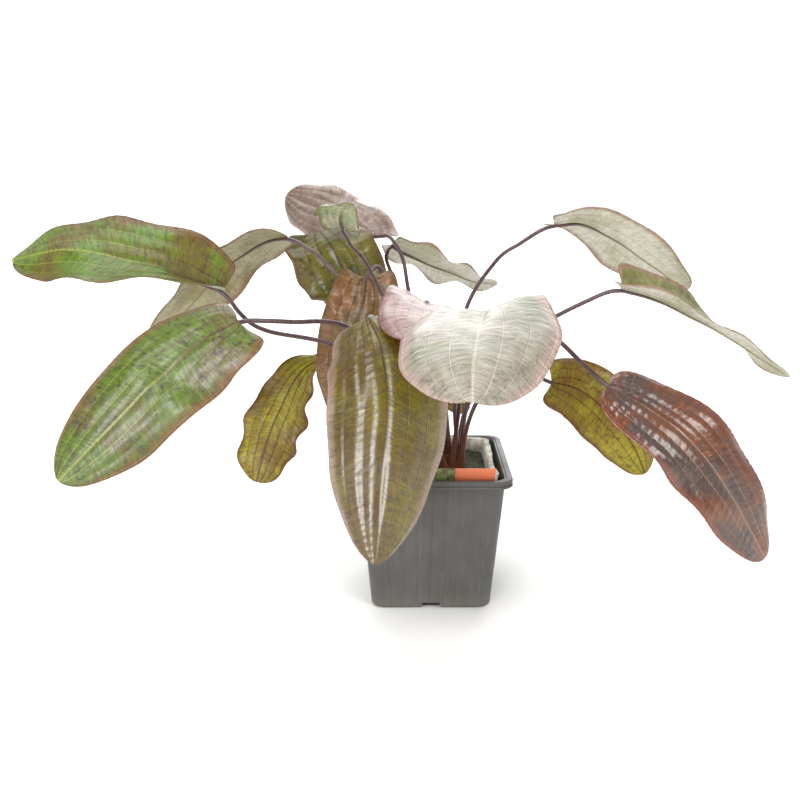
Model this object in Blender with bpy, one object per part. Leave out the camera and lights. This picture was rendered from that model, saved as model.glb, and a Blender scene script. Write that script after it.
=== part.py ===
"""Potted broad-leaf sword plant in a 9 cm square nursery pot.

The pot stands on z = 0 with the middle of its underside at the origin. +X is the
plant's right, -Y its front. The pot holds a mineral wool liner round a root plug,
a plain label card stands inside its front wall, and 17 leaves rise from one crown.
Every leaf is a stalk and a blade, each a closed solid of its own.
"""

import math
from dataclasses import dataclass

import bpy
import bmesh
from mathutils import Matrix, Vector

MM = 0.001

# Driving dimensions, in millimetres.
POT_HEIGHT = 81.0
RIM_HALF = 45.0
RIM_HEIGHT = 4.5
BODY_TOP_HALF = 41.5
BODY_BOTTOM_HALF = 34.5
POT_WALL = 1.2
POT_CORNER = 8.0
FOOT_ROUND = 3.0
DRAIN_WIDTH = 12.0
DRAIN_HEIGHT = 3.0
DRAIN_REACH = 4.0
GAP = 0.3
LINER_WALL = 4.0
LINER_TOP = 79.0
PLUG_TOP = 74.0
CARD_LEFT = -22.0
CARD_RIGHT = 35.5
CARD_FOOT_RIGHT = 29.0
CARD_SLACK = 1.5
CARD_HEIGHT = 50.0
CARD_THICKNESS = 0.8
CARD_TOP = 87.0
CROWN_AT = (12.0, -4.0)
CROWN_RADIUS = 4.6
CROWN_HEIGHT = 5.0
STALK_RADIUS = 1.0
STALK_TIP_GAP = 2.6
BLADE_THICKNESS = 1.0
ROOT_HEIGHT = PLUG_TOP + GAP

# Shape of every blade, as shares of its length or of its half width.
LOBE_PEAK = 0.16       # where along the blade the base lobes reach back furthest
LOBE_SPREAD = 1.6      # higher keeps the lobes nearer the margin
RUFFLE_SPREAD = 2.5    # higher keeps the ruffles nearer the margin
HALF_PHASE = 0.3       # how far the right margin's waves run ahead of the left's
END_INSET = 0.006      # the rows stop this far short of the base and the tip
EASE = 0.7             # 0 spaces the rows evenly, 1 packs them at both ends
FLAT_CURL = 0.01       # a curl under this many radians counts as flat

# Mesh steps.
CORNER_STEPS = 3
CROWN_SIDES = 12
CURVE_FINENESS = 24
MIDRIB_STEPS = 60
ROUTE_STEPS = 72
STALK_SIDES = 6
STALK_STEPS = 9
BLADE_STEPS = 11
BLADE_VEINS = 6


@dataclass(frozen=True)
class Leaf:
    """One leaf: where its stalk and midrib run, and how its blade is shaped.

    The stalk starts on the root ring at root_angle (degrees, 0 is +X, 90 is +Y) and
    runs through the stalk points to the first midrib point. Lengths are millimetres.
    """

    name: str
    root_ring: float
    root_angle: float
    stalk: tuple
    midrib: tuple
    faces: tuple                  # where the upper side looks, from base to tip
    width: float
    lobe: float = 8.0             # how far the two base lobes reach back
    shoulder: float = 0.45        # lower is a broader base
    taper: float = 0.5            # lower is a blunter tip
    fold: tuple = (10, 10, 0, 0)  # lift of each half: base left, base right, tips
    droop: tuple = (20, 20, 20, 20)  # how far each margin curls down, same order
    ruffle: float = 1.0
    waves: float = 3.0
    balance: float = 1.0          # the right base lobe as a share of the left


LEAVES = (
    Leaf("left_high", 10, 194, ((-18, -26, 131), (-52, -38, 156), (-88, -42, 165), (-101, -42, 173)),
         ((-111, -40, 186), (-133, -42, 195), (-163, -44, 204), (-194, -42, 208), (-222, -38, 202)),
         ((0.1, -0.35, 0.9), (0.0, -0.35, 0.9), (0.0, -0.45, 0.9)),
         54, 12, 0.46, 0.5, (38, 50, -75, 0), (0, 10, -85, 5), 1.8, 3.4),
    Leaf("left_front", 10, 214, ((-15, -34, 142), (-46, -60, 171), (-72, -80, 177)),
         ((-95, -92, 180), (-113, -96, 170), (-137, -102, 150), (-159, -106, 128), (-183, -108, 104)),
         ((0.1, -0.6, 0.8), (0.1, -0.8, 0.6), (0.2, -0.8, 0.6)),
         50, 18, 0.40, 0.5, (0, 38, -5, 5), (30, 80, 20, 20), 1.6, 2.4, 0.4),
    Leaf("left_back", 10, 152, ((-16, 6, 144), (-35, 10, 166), (-61, 14, 194), (-73, 18, 203)),
         ((-83, 23, 208), (-99, 30, 204), (-123, 38, 188), (-153, 44, 158), (-182, 46, 132)),
         ((0.0, 0.5, 0.9), (0.0, 0.5, 0.9), (-0.5, 0.5, 0.8)),
         44, 6, 0.46, 0.5, ruffle=1.8),
    Leaf("left_low", 10, 173, ((-3, -4, 110), (-27, 4, 138), (-48, 16, 141)),
         ((-63, 24, 137), (-79, 28, 125), (-93, 30, 100), (-102, 30, 77), (-108, 28, 55)),
         ((0.0, -0.6, 0.8), (0.0, -0.9, 0.4)),
         38, 2, 0.7, 0.42, ruffle=3.0, waves=3.4),
    Leaf("front_hanging", 10, 240, ((-4, -24, 119), (-20, -46, 156), (-31, -62, 175)),
         ((-34, -73, 178), (-27, -88, 165), (-24, -102, 142), (-27, -112, 107), (-30, -121, 66)),
         ((0.0, -0.8, 0.6), (0.0, -1.0, 0.3), (0.0, -1.0, 0.3)),
         67, 12, 0.46, 0.62, (0, 0, 0, 0), (45, 45, 50, 50)),
    Leaf("young_top", 6.5, 205, ((-11, -16, 138), (-27, -34, 182), (-36, -50, 203), (-43, -56, 212)),
         ((-47, -62, 221), (-47, -78, 227), (-45, -98, 232), (-40, -108, 236)),
         ((0.1, -0.5, 0.85), (0.5, -0.5, 0.8)),
         24, 7, 0.5, 0.6, (10, 10, 10, 10), (40, 40, 40, 40)),
    Leaf("back_left", 6.5, 80, ((-1, 12, 131), (-12, 34, 171), (-16, 50, 191), (-22, 58, 202), (-27, 64, 205)),
         ((-34, 70, 203), (-43, 76, 209), (-59, 84, 216), (-77, 95, 221), (-93, 106, 227)),
         ((0.0, -0.4, 0.9), (-0.2, -0.5, 0.8), (-0.3, -0.8, 0.5)),
         42, 17, 0.45, 0.5, (0, 20, 0, 20), (30, 30, 30, 30), 2.0),
    Leaf("back_centre", 10, 122, ((-5, 24, 135), (-22, 50, 170), (-45, 58, 196), (-62, 58, 210)),
         ((-67, 49, 209), (-59, 42, 200), (-51, 38, 184), (-47, 38, 169), (-49, 42, 154)),
         ((0.3, -0.8, 0.5), (0.2, -1.0, 0.2), (0.0, -1.0, 0.1)),
         55, 15, 0.42, 0.5, (0, 0, 0, 0), (20, 20, 20, 20), 2.5),
    Leaf("inner_arched", 6.5, 150, ((-2, -2, 134), (-17, 0, 163), (-24, 2, 182), (-29, 3, 192), (-33, 1, 193)),
         ((-37, -3, 188), (-38, -9, 176), (-42, -12, 160), (-46, -10, 136), (-50, -4, 102)),
         ((0.0, -0.8, 0.6), (0.0, -1.0, 0.1)),
         46, 16, 0.44, 0.5, (0, 0, 0, 0), (30, 30, 30, 30), 2.4),
    Leaf("back_right", 10, 70, ((1, 20, 129), (-15, 50, 160), (-23, 70, 179), (-27, 80, 190)),
         ((-24, 87, 197), (-11, 92, 189), (8, 98, 180), (29, 102, 172), (47, 104, 168)),
         ((0.0, 0.42, 0.9), (0.0, 0.42, 0.9)),
         48, 8, 0.46, 0.45, (10, 10, 10, 0), (0, 10, 20, 20), 3.0),
    Leaf("right_high", 10, 15, ((14, 0, 116), (20, 14, 165), (38, 22, 194), (53, 28, 204), (65, 32, 211)),
         ((73, 36, 214), (91, 40, 214), (111, 48, 205), (137, 58, 188), (163, 64, 170)),
         ((0.0, 0.5, 0.9), (0.1, 0.7, 0.7), (0.2, 0.7, 0.7)),
         46, 15, 0.44, 0.45, (30, 10, 0, 0), (10, 20, 20, 20)),
    Leaf("right_level", 10, 340, ((22, -10, 119), (49, -20, 156), (66, -24, 169), (91, -30, 183)),
         ((100, -32, 186), (115, -36, 182), (136, -40, 173), (165, -44, 157), (189, -48, 141)),
         ((0.0, 0.3, 0.95), (0.0, 0.25, 1.0), (0.3, 0.3, 0.9)),
         46, 16, 0.45, 0.6, (60, 10, 0, 0), (0, 10, 20, 20), 2.0),
    Leaf("right_front", 10, 305, ((24, -26, 120), (50, -50, 164), (62, -58, 164), (74, -68, 154)),
         ((86, -77, 144), (107, -84, 133), (128, -92, 117), (149, -94, 89), (169, -90, 56)),
         ((0.0, -0.6, 0.8), (0.2, -0.8, 0.5), (0.3, -0.8, 0.4)),
         45, 8, 0.44, 0.5, (10, 10, 10, 10), (30, 30, 25, 25), 1.8),
    Leaf("right_low", 10, 42, ((21, 10, 107), (42, 22, 126), (61, 30, 124)),
         ((75, 34, 118), (90, 32, 115), (108, 30, 102), (125, 30, 82), (136, 30, 60)),
         ((0.0, -0.8, 0.6), (0.1, -0.9, 0.3)),
         44, 12, 0.45, 0.5),
    Leaf("front_right", 10, 272, ((14, -18, 103), (16, -42, 138), (18, -64, 167), (20, -78, 179)),
         ((23, -95, 185), (20, -108, 184), (16, -138, 182), (12, -166, 176), (10, -188, 165)),
         ((0.0, -0.2, 0.95), (0.0, -0.5, 0.9), (0.0, -0.9, 0.4)),
         73, 16, 0.44, 0.5, (45, 12, 5, 0), (50, 40, 45, 45), 1.0, 2.0),
    Leaf("front_inner", 6.5, 262, ((9, -12, 107), (5, -22, 139), (0, -32, 169), (-4, -38, 181)),
         ((-4, -42, 180), (-5, -58, 180), (-8, -80, 177), (-11, -99, 172)),
         ((0.0, -0.2, 0.95), (0.0, -0.5, 0.9)),
         46, 12, 0.45, 0.5, (0, 45, -5, -5), (30, 10, 30, 30)),
    Leaf("young_low", 10, 98, ((6, 18, 96), (-2, 30, 112)),
         ((4, 27, 118), (11, 29, 113), (18, 30, 107), (25, 31, 102)),
         ((0.0, -0.8, 0.6), (0.0, -0.8, 0.6)),
         18, 3, 0.46, 0.5),
)


def clear_scene():
    """Remove every object, so that the model starts from nothing."""
    for obj in list(bpy.data.objects):
        bpy.data.objects.remove(obj, do_unlink=True)


def finish(name, color, roughness, metallic=0.0):
    """Return a Principled material."""
    material = bpy.data.materials.new(name)
    material.use_nodes = True
    shader = material.node_tree.nodes["Principled BSDF"]
    shader.inputs["Base Color"].default_value = (*color, 1.0)
    shader.inputs["Roughness"].default_value = roughness
    shader.inputs["Metallic"].default_value = metallic
    return material


def add_solid(name, vertices, faces, material):
    """Make an object from vertices in millimetres, with its faces turned outwards."""
    mesh = bpy.data.meshes.new(name)
    mesh.from_pydata([Vector(v) * MM for v in vertices], [], faces)
    mesh.materials.append(material)
    shape = bmesh.new()
    shape.from_mesh(mesh)
    bmesh.ops.recalc_face_normals(shape, faces=shape.faces)
    shape.to_mesh(mesh)
    shape.free()
    obj = bpy.data.objects.new(name, mesh)
    bpy.context.scene.collection.objects.link(obj)
    return obj


def rounded_square(half, corner, z, center=(0.0, 0.0)):
    """Return one turn of points round a square with rounded corners."""
    points = []
    inner = half - corner
    for quarter in range(4):
        turn = quarter * math.pi / 2
        middle = Matrix.Rotation(turn, 3, "Z") @ Vector((inner, inner, 0))
        for step in range(CORNER_STEPS + 1):
            angle = turn + step * math.pi / 2 / CORNER_STEPS
            x = center[0] + middle.x + corner * math.cos(angle)
            y = center[1] + middle.y + corner * math.sin(angle)
            points.append((x, y, z))
    return points


def loft(rings):
    """Join rings of equal length into a closed skin with a face on each end."""
    count = len(rings[0])
    vertices = [point for ring in rings for point in ring]
    faces = []
    for level in range(len(rings) - 1):
        low = level * count
        for side in range(count):
            after = (side + 1) % count
            faces.append((low + side, low + after, low + count + after, low + count + side))
    faces.append(tuple(reversed(range(count))))
    faces.append(tuple(range(len(vertices) - count, len(vertices))))
    return vertices, faces


def body_half(z):
    """Return half the outer width of the pot's tapered body at height z."""
    return BODY_BOTTOM_HALF + (BODY_TOP_HALF - BODY_BOTTOM_HALF) * z / POT_HEIGHT


def make_pot(material):
    """Model the thin-walled pot: tapered body, flanged rim and four drain slots."""
    rim_bottom = POT_HEIGHT - RIM_HEIGHT
    floor = POT_WALL
    rings = [
        rounded_square(BODY_BOTTOM_HALF - FOOT_ROUND, POT_CORNER - FOOT_ROUND, 0.0),
        rounded_square(body_half(FOOT_ROUND), POT_CORNER, FOOT_ROUND),
        rounded_square(body_half(rim_bottom), POT_CORNER, rim_bottom),
        rounded_square(RIM_HALF, POT_CORNER, rim_bottom),
        rounded_square(RIM_HALF, POT_CORNER, POT_HEIGHT),
        rounded_square(body_half(POT_HEIGHT) - POT_WALL, POT_CORNER - POT_WALL, POT_HEIGHT),
        rounded_square(body_half(FOOT_ROUND) - POT_WALL, POT_CORNER - POT_WALL, FOOT_ROUND + floor),
        rounded_square(BODY_BOTTOM_HALF - FOOT_ROUND - POT_WALL, POT_CORNER - FOOT_ROUND - POT_WALL, floor),
    ]
    pot = add_solid("pot", *loft(rings), material)
    for index in range(4):
        cut_drain(pot, index)


def cut_drain(pot, index):
    """Cut one drain slot through the foot at the middle of a side."""
    turn = Matrix.Rotation(index * math.pi / 2, 3, "Z")
    inner = BODY_BOTTOM_HALF - DRAIN_REACH
    outer = RIM_HALF
    vertices = []
    for z, half in ((-1.0, DRAIN_WIDTH / 2), (DRAIN_HEIGHT, DRAIN_WIDTH / 2 - 1.0)):
        for x, y in ((inner, -half), (outer, -half), (outer, half), (inner, half)):
            vertices.append(turn @ Vector((x, y, z)))
    cutter = add_solid(f"drain_cutter_{index}", *loft([vertices[:4], vertices[4:]]), None)
    cutter.hide_render = True
    cutter.display_type = "WIRE"
    cut = pot.modifiers.new(f"drain_{index}", "BOOLEAN")
    cut.operation = "DIFFERENCE"
    cut.solver = "EXACT"
    cut.object = cutter


def liner_half(z):
    """Return half the outer width of the wool liner, which follows the pot's wall."""
    return body_half(z) - POT_WALL - CARD_SLACK - CARD_THICKNESS - GAP


def make_liner(material):
    """Model the mineral wool wrapped round the root plug, open at top and bottom."""
    bottom = FOOT_ROUND + POT_WALL + GAP
    corner = POT_CORNER - POT_WALL
    outer = [rounded_square(liner_half(z), corner, z) for z in (bottom, LINER_TOP)]
    inner = [rounded_square(liner_half(z) - LINER_WALL, corner - LINER_WALL, z) for z in (LINER_TOP, bottom)]
    rings = outer + inner
    vertices, faces = loft(rings)
    count = len(rings[0])
    faces = faces[:-2]
    last = count * (len(rings) - 1)
    for side in range(count):
        after = (side + 1) % count
        faces.append((last + side, last + after, after, side))
    add_solid("wool_liner", vertices, faces, material)


def make_plug(material):
    """Model the root plug that fills the liner."""
    bottom = FOOT_ROUND + POT_WALL + GAP
    corner = POT_CORNER - POT_WALL - LINER_WALL
    rings = [
        rounded_square(liner_half(z) - LINER_WALL - GAP, corner - GAP, z)
        for z in (bottom, PLUG_TOP)
    ]
    add_solid("root_plug", *loft(rings), material)


def make_card(material):
    """Model the plain label card that stands between the front wall and the liner."""
    bottom = CARD_TOP - CARD_HEIGHT
    vertices = []
    for z, right in ((bottom, CARD_FOOT_RIGHT), (CARD_TOP, CARD_RIGHT)):
        front = CARD_SLACK + POT_WALL - body_half(z)
        back = front + CARD_THICKNESS
        vertices += [(CARD_LEFT, front, z), (right, front, z), (right, back, z), (CARD_LEFT, back, z)]
    add_solid("label_card", *loft([vertices[:4], vertices[4:]]), material)


def make_crown(material):
    """Model the short domed crown that the stalks grow round."""
    rings = []
    for share, reach in ((0.0, 1.0), (0.6, 0.85), (1.0, 0.35)):
        ring = []
        for side in range(CROWN_SIDES):
            angle = side * 2 * math.pi / CROWN_SIDES
            x = CROWN_AT[0] + CROWN_RADIUS * reach * math.cos(angle)
            y = CROWN_AT[1] + CROWN_RADIUS * reach * math.sin(angle)
            ring.append((x, y, ROOT_HEIGHT + share * CROWN_HEIGHT))
        rings.append(ring)
    add_solid("crown", *loft(rings), material)


def smooth_curve(points, steps):
    """Return points at even spacing along a Catmull-Rom curve through the given ones."""
    knots = [Vector(point) for point in points]
    knots = [2 * knots[0] - knots[1], *knots, 2 * knots[-1] - knots[-2]]
    dense = []
    for a, b, c, d in zip(knots, knots[1:], knots[2:], knots[3:]):
        for step in range(CURVE_FINENESS):
            t = step / CURVE_FINENESS
            dense.append(0.5 * (2 * b + (c - a) * t + (2 * a - 5 * b + 4 * c - d) * t ** 2
                                + (3 * b - a - 3 * c + d) * t ** 3))
    dense.append(knots[-2])
    lengths = [0.0]
    for before, after in zip(dense, dense[1:]):
        lengths.append(lengths[-1] + (after - before).length)
    curve = []
    index = 0
    for step in range(steps + 1):
        goal = lengths[-1] * step / steps
        while index < len(lengths) - 2 and lengths[index + 1] < goal:
            index += 1
        share = (goal - lengths[index]) / (lengths[index + 1] - lengths[index])
        curve.append(dense[index].lerp(dense[index + 1], min(share, 1.0)))
    return curve, lengths[-1]


def directions(curve):
    """Return the direction of travel at each point of a curve."""
    ends = [curve[0], *curve, curve[-1]]
    return [(after - before).normalized() for before, after in zip(ends, ends[2:])]


def stalk_route(leaf):
    """Return the points a leaf's stalk runs through, from the root ring to its blade."""
    angle = math.radians(leaf.root_angle)
    start = (
        CROWN_AT[0] + leaf.root_ring * math.cos(angle),
        CROWN_AT[1] + leaf.root_ring * math.sin(angle),
        ROOT_HEIGHT,
    )
    return [start, *leaf.stalk, leaf.midrib[0]]


def make_stalk(leaf, material):
    """Model a leaf stalk as a round tube along its route, short of the blade."""
    curve, length = smooth_curve(stalk_route(leaf), ROUTE_STEPS)
    keep = int(len(curve) * (1 - STALK_TIP_GAP / length))
    curve = [curve[round(keep * step / STALK_STEPS)] for step in range(STALK_STEPS + 1)]
    tangents = directions(curve)
    tangents[0] = Vector((0, 0, 1))
    side = Vector((1, 0, 0))
    rings = []
    for point, tangent in zip(curve, tangents):
        side = (side - tangent * side.dot(tangent)).normalized()
        up = tangent.cross(side)
        ring = []
        for corner in range(STALK_SIDES):
            angle = corner * 2 * math.pi / STALK_SIDES
            ring.append(point + STALK_RADIUS * (side * math.cos(angle) + up * math.sin(angle)))
        rings.append(ring)
    obj = add_solid(f"stalk_{leaf.name}", *loft(rings), material)
    obj.data.shade_smooth()


def at_share(values, share):
    """Return the value at a share from 0 to 1 along a list of evenly spaced values."""
    place = min(max(share, 0.0), 1.0) * (len(values) - 1)
    index = min(int(place), len(values) - 2)
    return values[index].lerp(values[index + 1], place - index)


def blade_point(leaf, curve, tangents, length, u, v):
    """Return the blade's middle surface point and its upward normal.

    u runs from base to tip and v from -1 (left) to 1 (right). Lines of equal v are
    the leaf's curved veins, which meet at the base and at the tip.
    """
    peak = leaf.shoulder / (leaf.shoulder + leaf.taper)
    most = peak ** leaf.shoulder * (1 - peak) ** leaf.taper
    reach = u ** leaf.shoulder * (1 - u) ** leaf.taper / most * leaf.width / 2
    back = leaf.lobe * abs(v) ** LOBE_SPREAD * (u / LOBE_PEAK) * math.exp(1 - u / LOBE_PEAK)
    if v > 0:
        back *= leaf.balance
    share = u - back / length
    tangent = at_share(tangents, share).normalized()
    center = at_share(curve, share) + tangent * min(share, 0.0) * length
    upward = at_share([Vector(face) for face in leaf.faces], share)
    upward = (upward - tangent * upward.dot(tangent)).normalized()
    right = tangent.cross(upward)
    along = min(max(share, 0.0), 1.0)
    half = 0 if v < 0 else 1
    lift = math.radians(leaf.fold[half] * (1 - along) + leaf.fold[half + 2] * along)
    curl = math.radians(leaf.droop[half] * (1 - along) + leaf.droop[half + 2] * along)
    if abs(curl) < FLAT_CURL:
        out, rise = abs(v) * math.cos(lift), abs(v) * math.sin(lift)
    else:
        out = (math.sin(lift) - math.sin(lift - curl * abs(v))) / curl
        rise = (math.cos(lift - curl * abs(v)) - math.cos(lift)) / curl
    phase = 2 * math.pi * (leaf.waves * u + HALF_PHASE * half)
    wave = leaf.ruffle * abs(v) ** RUFFLE_SPREAD * math.sqrt(math.sin(math.pi * u)) * math.sin(phase)
    turn = lift - curl * abs(v)
    normal = upward * math.cos(turn) - right * math.copysign(math.sin(turn), v)
    return center + right * math.copysign(out * reach, v) + upward * (rise * reach + wave), normal


def make_blade(leaf, material):
    """Model a leaf blade as a thin closed shell bent along its midrib."""
    curve, length = smooth_curve(leaf.midrib, MIDRIB_STEPS)
    tangents = directions(curve)
    top, bottom = [], []
    for row in range(BLADE_STEPS + 1):
        even = row / BLADE_STEPS
        eased = 0.5 - 0.5 * math.cos(math.pi * even)
        u = END_INSET + (1 - 2 * END_INSET) * (EASE * eased + (1 - EASE) * even)
        for column in range(BLADE_VEINS + 1):
            v = 2 * column / BLADE_VEINS - 1
            point, normal = blade_point(leaf, curve, tangents, length, u, v)
            top.append(point + normal * BLADE_THICKNESS / 2)
            bottom.append(point - normal * BLADE_THICKNESS / 2)
    across = BLADE_VEINS + 1
    under = len(top)
    faces = []
    for row in range(BLADE_STEPS):
        for column in range(BLADE_VEINS):
            a = row * across + column
            b, c, d = a + 1, a + across + 1, a + across
            faces.append((a, b, c, d))
            faces.append((under + a, under + d, under + c, under + b))
    edge = [column for column in range(across)]
    edge += [row * across + across - 1 for row in range(1, BLADE_STEPS + 1)]
    edge += [BLADE_STEPS * across + column for column in range(across - 2, -1, -1)]
    edge += [row * across for row in range(BLADE_STEPS - 1, 0, -1)]
    for a, b in zip(edge, edge[1:] + edge[:1]):
        faces.append((a, b, under + b, under + a))
    obj = add_solid(f"blade_{leaf.name}", top + bottom, faces, material)
    obj.data.shade_smooth()


def main():
    """Build the whole plant."""
    clear_scene()
    make_pot(finish("polypropylene_grey", (0.115, 0.115, 0.108), 0.45))
    make_liner(finish("mineral_wool", (0.72, 0.70, 0.64), 0.95))
    make_plug(finish("root_plug_moss", (0.035, 0.04, 0.022), 0.95))
    make_card(finish("card_stock", (0.78, 0.22, 0.07), 0.5))
    make_crown(finish("crown_tissue", (0.16, 0.12, 0.05), 0.6))
    stalk_skin = finish("stalk_skin", (0.10, 0.035, 0.045), 0.35)
    blade_skin = finish("leaf_blade", (0.13, 0.16, 0.05), 0.3)
    for leaf in LEAVES:
        make_stalk(leaf, stalk_skin)
        make_blade(leaf, blade_skin)


main()
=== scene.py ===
"""Looks of a potted broad-leaf sword plant in a square nursery pot.

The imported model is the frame: the pot, wool liner, root plug, label card, crown, stalks
and blades keep their places, and each gets a finished piece in the same place.
"""

from __future__ import annotations

import logging
import math
from dataclasses import dataclass
from enum import Enum

import bmesh
import bpy
import numpy as np
from mathutils import Matrix, Vector


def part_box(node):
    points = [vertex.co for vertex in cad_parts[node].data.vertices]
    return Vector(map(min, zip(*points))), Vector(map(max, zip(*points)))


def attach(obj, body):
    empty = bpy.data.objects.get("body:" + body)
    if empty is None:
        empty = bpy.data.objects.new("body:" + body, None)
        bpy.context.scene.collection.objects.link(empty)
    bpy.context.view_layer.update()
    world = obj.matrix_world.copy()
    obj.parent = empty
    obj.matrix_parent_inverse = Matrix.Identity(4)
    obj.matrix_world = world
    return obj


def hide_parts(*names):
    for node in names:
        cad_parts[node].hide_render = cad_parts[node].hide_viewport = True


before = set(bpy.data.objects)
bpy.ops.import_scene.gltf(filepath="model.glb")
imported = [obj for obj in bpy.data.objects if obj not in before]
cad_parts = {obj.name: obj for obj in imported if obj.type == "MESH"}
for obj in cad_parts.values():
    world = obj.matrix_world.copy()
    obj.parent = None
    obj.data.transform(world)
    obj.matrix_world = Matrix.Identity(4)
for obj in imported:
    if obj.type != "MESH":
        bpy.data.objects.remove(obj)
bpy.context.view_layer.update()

LOG = logging.getLogger("sword_plant")
MM = 0.001
BODY = "root"
LEAF_UV = "leaf_uv"
HALF_WIDTH = "half_mm"
ALONG = "along_mm"
RIB_FADE = "rib_fade"
VEIN_SPACING = 0.31  # side veins, as a share of the way from midrib to margin

Tree = bpy.types.NodeTree
Socket = bpy.types.NodeSocket


class Side(Enum):
    """The two sides of a blade, each with its own finish."""

    UPPER = "upper"
    UNDER = "under"


# ---------------------------------------------------------------- small tools


def linear(code: str) -> tuple[float, float, float, float]:
    """Turn an sRGB hex colour into linear RGBA.

    Args:
        code: a colour such as "#5E7A33".

    Returns:
        Linear red, green, blue and an alpha of one.
    """
    parts = [int(code[i : i + 2], 16) / 255 for i in (1, 3, 5)]
    red, green, blue = (p / 12.92 if p <= 0.04045 else ((p + 0.055) / 1.055) ** 2.4 for p in parts)
    return (red, green, blue, 1.0)


def add(tree: Tree, kind: str, inputs: dict | None = None, **settings) -> bpy.types.Node:
    """Add a node, set its properties, and set or link its inputs.

    Args:
        tree: the node tree to add to.
        kind: the node's type without the "ShaderNode" prefix.
        inputs: input name or index to a value, or to an output socket to link from.
        **settings: properties of the node itself.

    Returns:
        The new node.
    """
    node = tree.nodes.new("ShaderNode" + kind)
    for key, value in settings.items():
        setattr(node, key, value)
    for key, value in (inputs or {}).items():
        if isinstance(value, Socket):
            tree.links.new(value, node.inputs[key])
        else:
            node.inputs[key].default_value = value
    return node


def math_node(tree: Tree, operation: str, *values: Socket | float) -> Socket:
    """Return the output of a maths operation on numbers or sockets."""
    return add(tree, "Math", dict(enumerate(values)), operation=operation).outputs[0]


def ramp(
    tree: Tree, value: Socket, low: float, high: float, start: float = 0.0, end: float = 1.0
) -> Socket:
    """Return a smooth step of value, from start at low to end at high."""
    inputs = {"Value": value, "From Min": low, "From Max": high, "To Min": start, "To Max": end}
    return add(tree, "MapRange", inputs, interpolation_type="SMOOTHSTEP").outputs[0]


def blend_colors(
    tree: Tree, share: Socket | float, first: Socket | str, second: Socket | str, mode: str = "MIX"
) -> Socket:
    """Mix two colours.

    Args:
        tree: the node tree to add to.
        share: how much of the second colour shows.
        first: a hex code or a socket.
        second: a hex code or a socket.
        mode: how the second goes over the first.

    Returns:
        The mixed colour.
    """
    first = linear(first) if isinstance(first, str) else first
    second = linear(second) if isinstance(second, str) else second
    node = add(tree, "Mix", {0: share, 6: first, 7: second}, data_type="RGBA", blend_type=mode)
    return node.outputs[2]


def noise(tree: Tree, vector: Socket, size_mm: float, detail: float = 3.0, rough: float = 0.55) -> Socket:
    """Return noise whose lumps are about size_mm across, on coordinates in metres."""
    inputs = {"Vector": vector, "Scale": 1 / (size_mm * MM), "Detail": detail, "Roughness": rough}
    return add(tree, "TexNoise", inputs).outputs[0]


def new_tree(name: str) -> tuple[bpy.types.Material, Tree, Socket]:
    """Start a material.

    Args:
        name: the material's name.

    Returns:
        The material, its emptied node tree, and the object coordinates in it.
    """
    material = bpy.data.materials.new(name)
    material.use_nodes = True
    tree = material.node_tree
    tree.nodes.clear()
    return material, tree, add(tree, "TexCoord").outputs["Object"]


def close_tree(tree: Tree, shader: Socket) -> None:
    """Link the finished shader to the material's surface."""
    add(tree, "OutputMaterial", {"Surface": shader})


def add_bump(tree: Tree, height: Socket, depth: float, strength: float) -> Socket:
    """Return the normal of fine relief that is depth millimetres deep."""
    return add(tree, "Bump", {"Height": height, "Distance": depth * MM, "Strength": strength}).outputs[0]


def close_skin(
    tree: Tree, color: Socket, rough: Socket | float, normal: Socket, more: dict | None = None
) -> None:
    """Close a tree with an opaque skin.

    Args:
        tree: the node tree.
        color: the skin's colour.
        rough: its roughness.
        normal: its fine relief.
        more: further inputs of the skin.
    """
    inputs = {"Base Color": color, "Roughness": rough, "Normal": normal} | (more or {})
    close_tree(tree, add(tree, "BsdfPrincipled", inputs).outputs[0])


def catmull_rom(points: list, steps: int) -> tuple[np.ndarray, float]:
    """Run a smooth curve through points and space it evenly.

    Args:
        points: control points in millimetres.
        steps: how many equal steps to cut it in.

    Returns:
        The steps + 1 points of the curve, and its length.
    """
    knots = np.array(points, float)
    knots = np.vstack([2 * knots[0] - knots[1], knots, 2 * knots[-1] - knots[-2]])
    t = np.linspace(0, 1, 24, endpoint=False)[:, None]
    dense = [
        0.5 * (2 * b + (c - a) * t + (2 * a - 5 * b + 4 * c - d) * t**2 + (3 * b - a - 3 * c + d) * t**3)
        for a, b, c, d in zip(knots, knots[1:], knots[2:], knots[3:])
    ]
    dense = np.vstack([*dense, knots[-2]])
    lengths = np.concatenate([[0], np.cumsum(np.linalg.norm(np.diff(dense, axis=0), axis=1))])
    goals = np.linspace(0, lengths[-1], steps + 1)
    curve = np.stack([np.interp(goals, lengths, dense[:, k]) for k in range(3)], 1)
    return curve, float(lengths[-1])


def unit(vectors: np.ndarray) -> np.ndarray:
    """Return vectors scaled to length one along the last axis."""
    return vectors / np.maximum(np.linalg.norm(vectors, axis=-1, keepdims=True), 1e-9)


def waves(x: np.ndarray, y: np.ndarray, size: float, seed: int, count: int = 7) -> np.ndarray:
    """Work out smooth random relief.

    Args:
        x: the points' first coordinates.
        y: their second coordinates.
        size: about how wide the lumps are.
        seed: what the random draws start from.
        count: how many waves are added up.

    Returns:
        The relief at each point, of about -1 to 1.
    """
    rng = np.random.default_rng(seed)
    total = np.zeros(np.broadcast(x, y).shape)
    for _ in range(count):
        angle, phase = rng.uniform(0, 2 * math.pi, 2)
        pitch = size * rng.uniform(0.7, 1.6)
        total += np.sin((x * math.cos(angle) + y * math.sin(angle)) * 2 * math.pi / pitch + phase)
    return total / math.sqrt(count)


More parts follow.
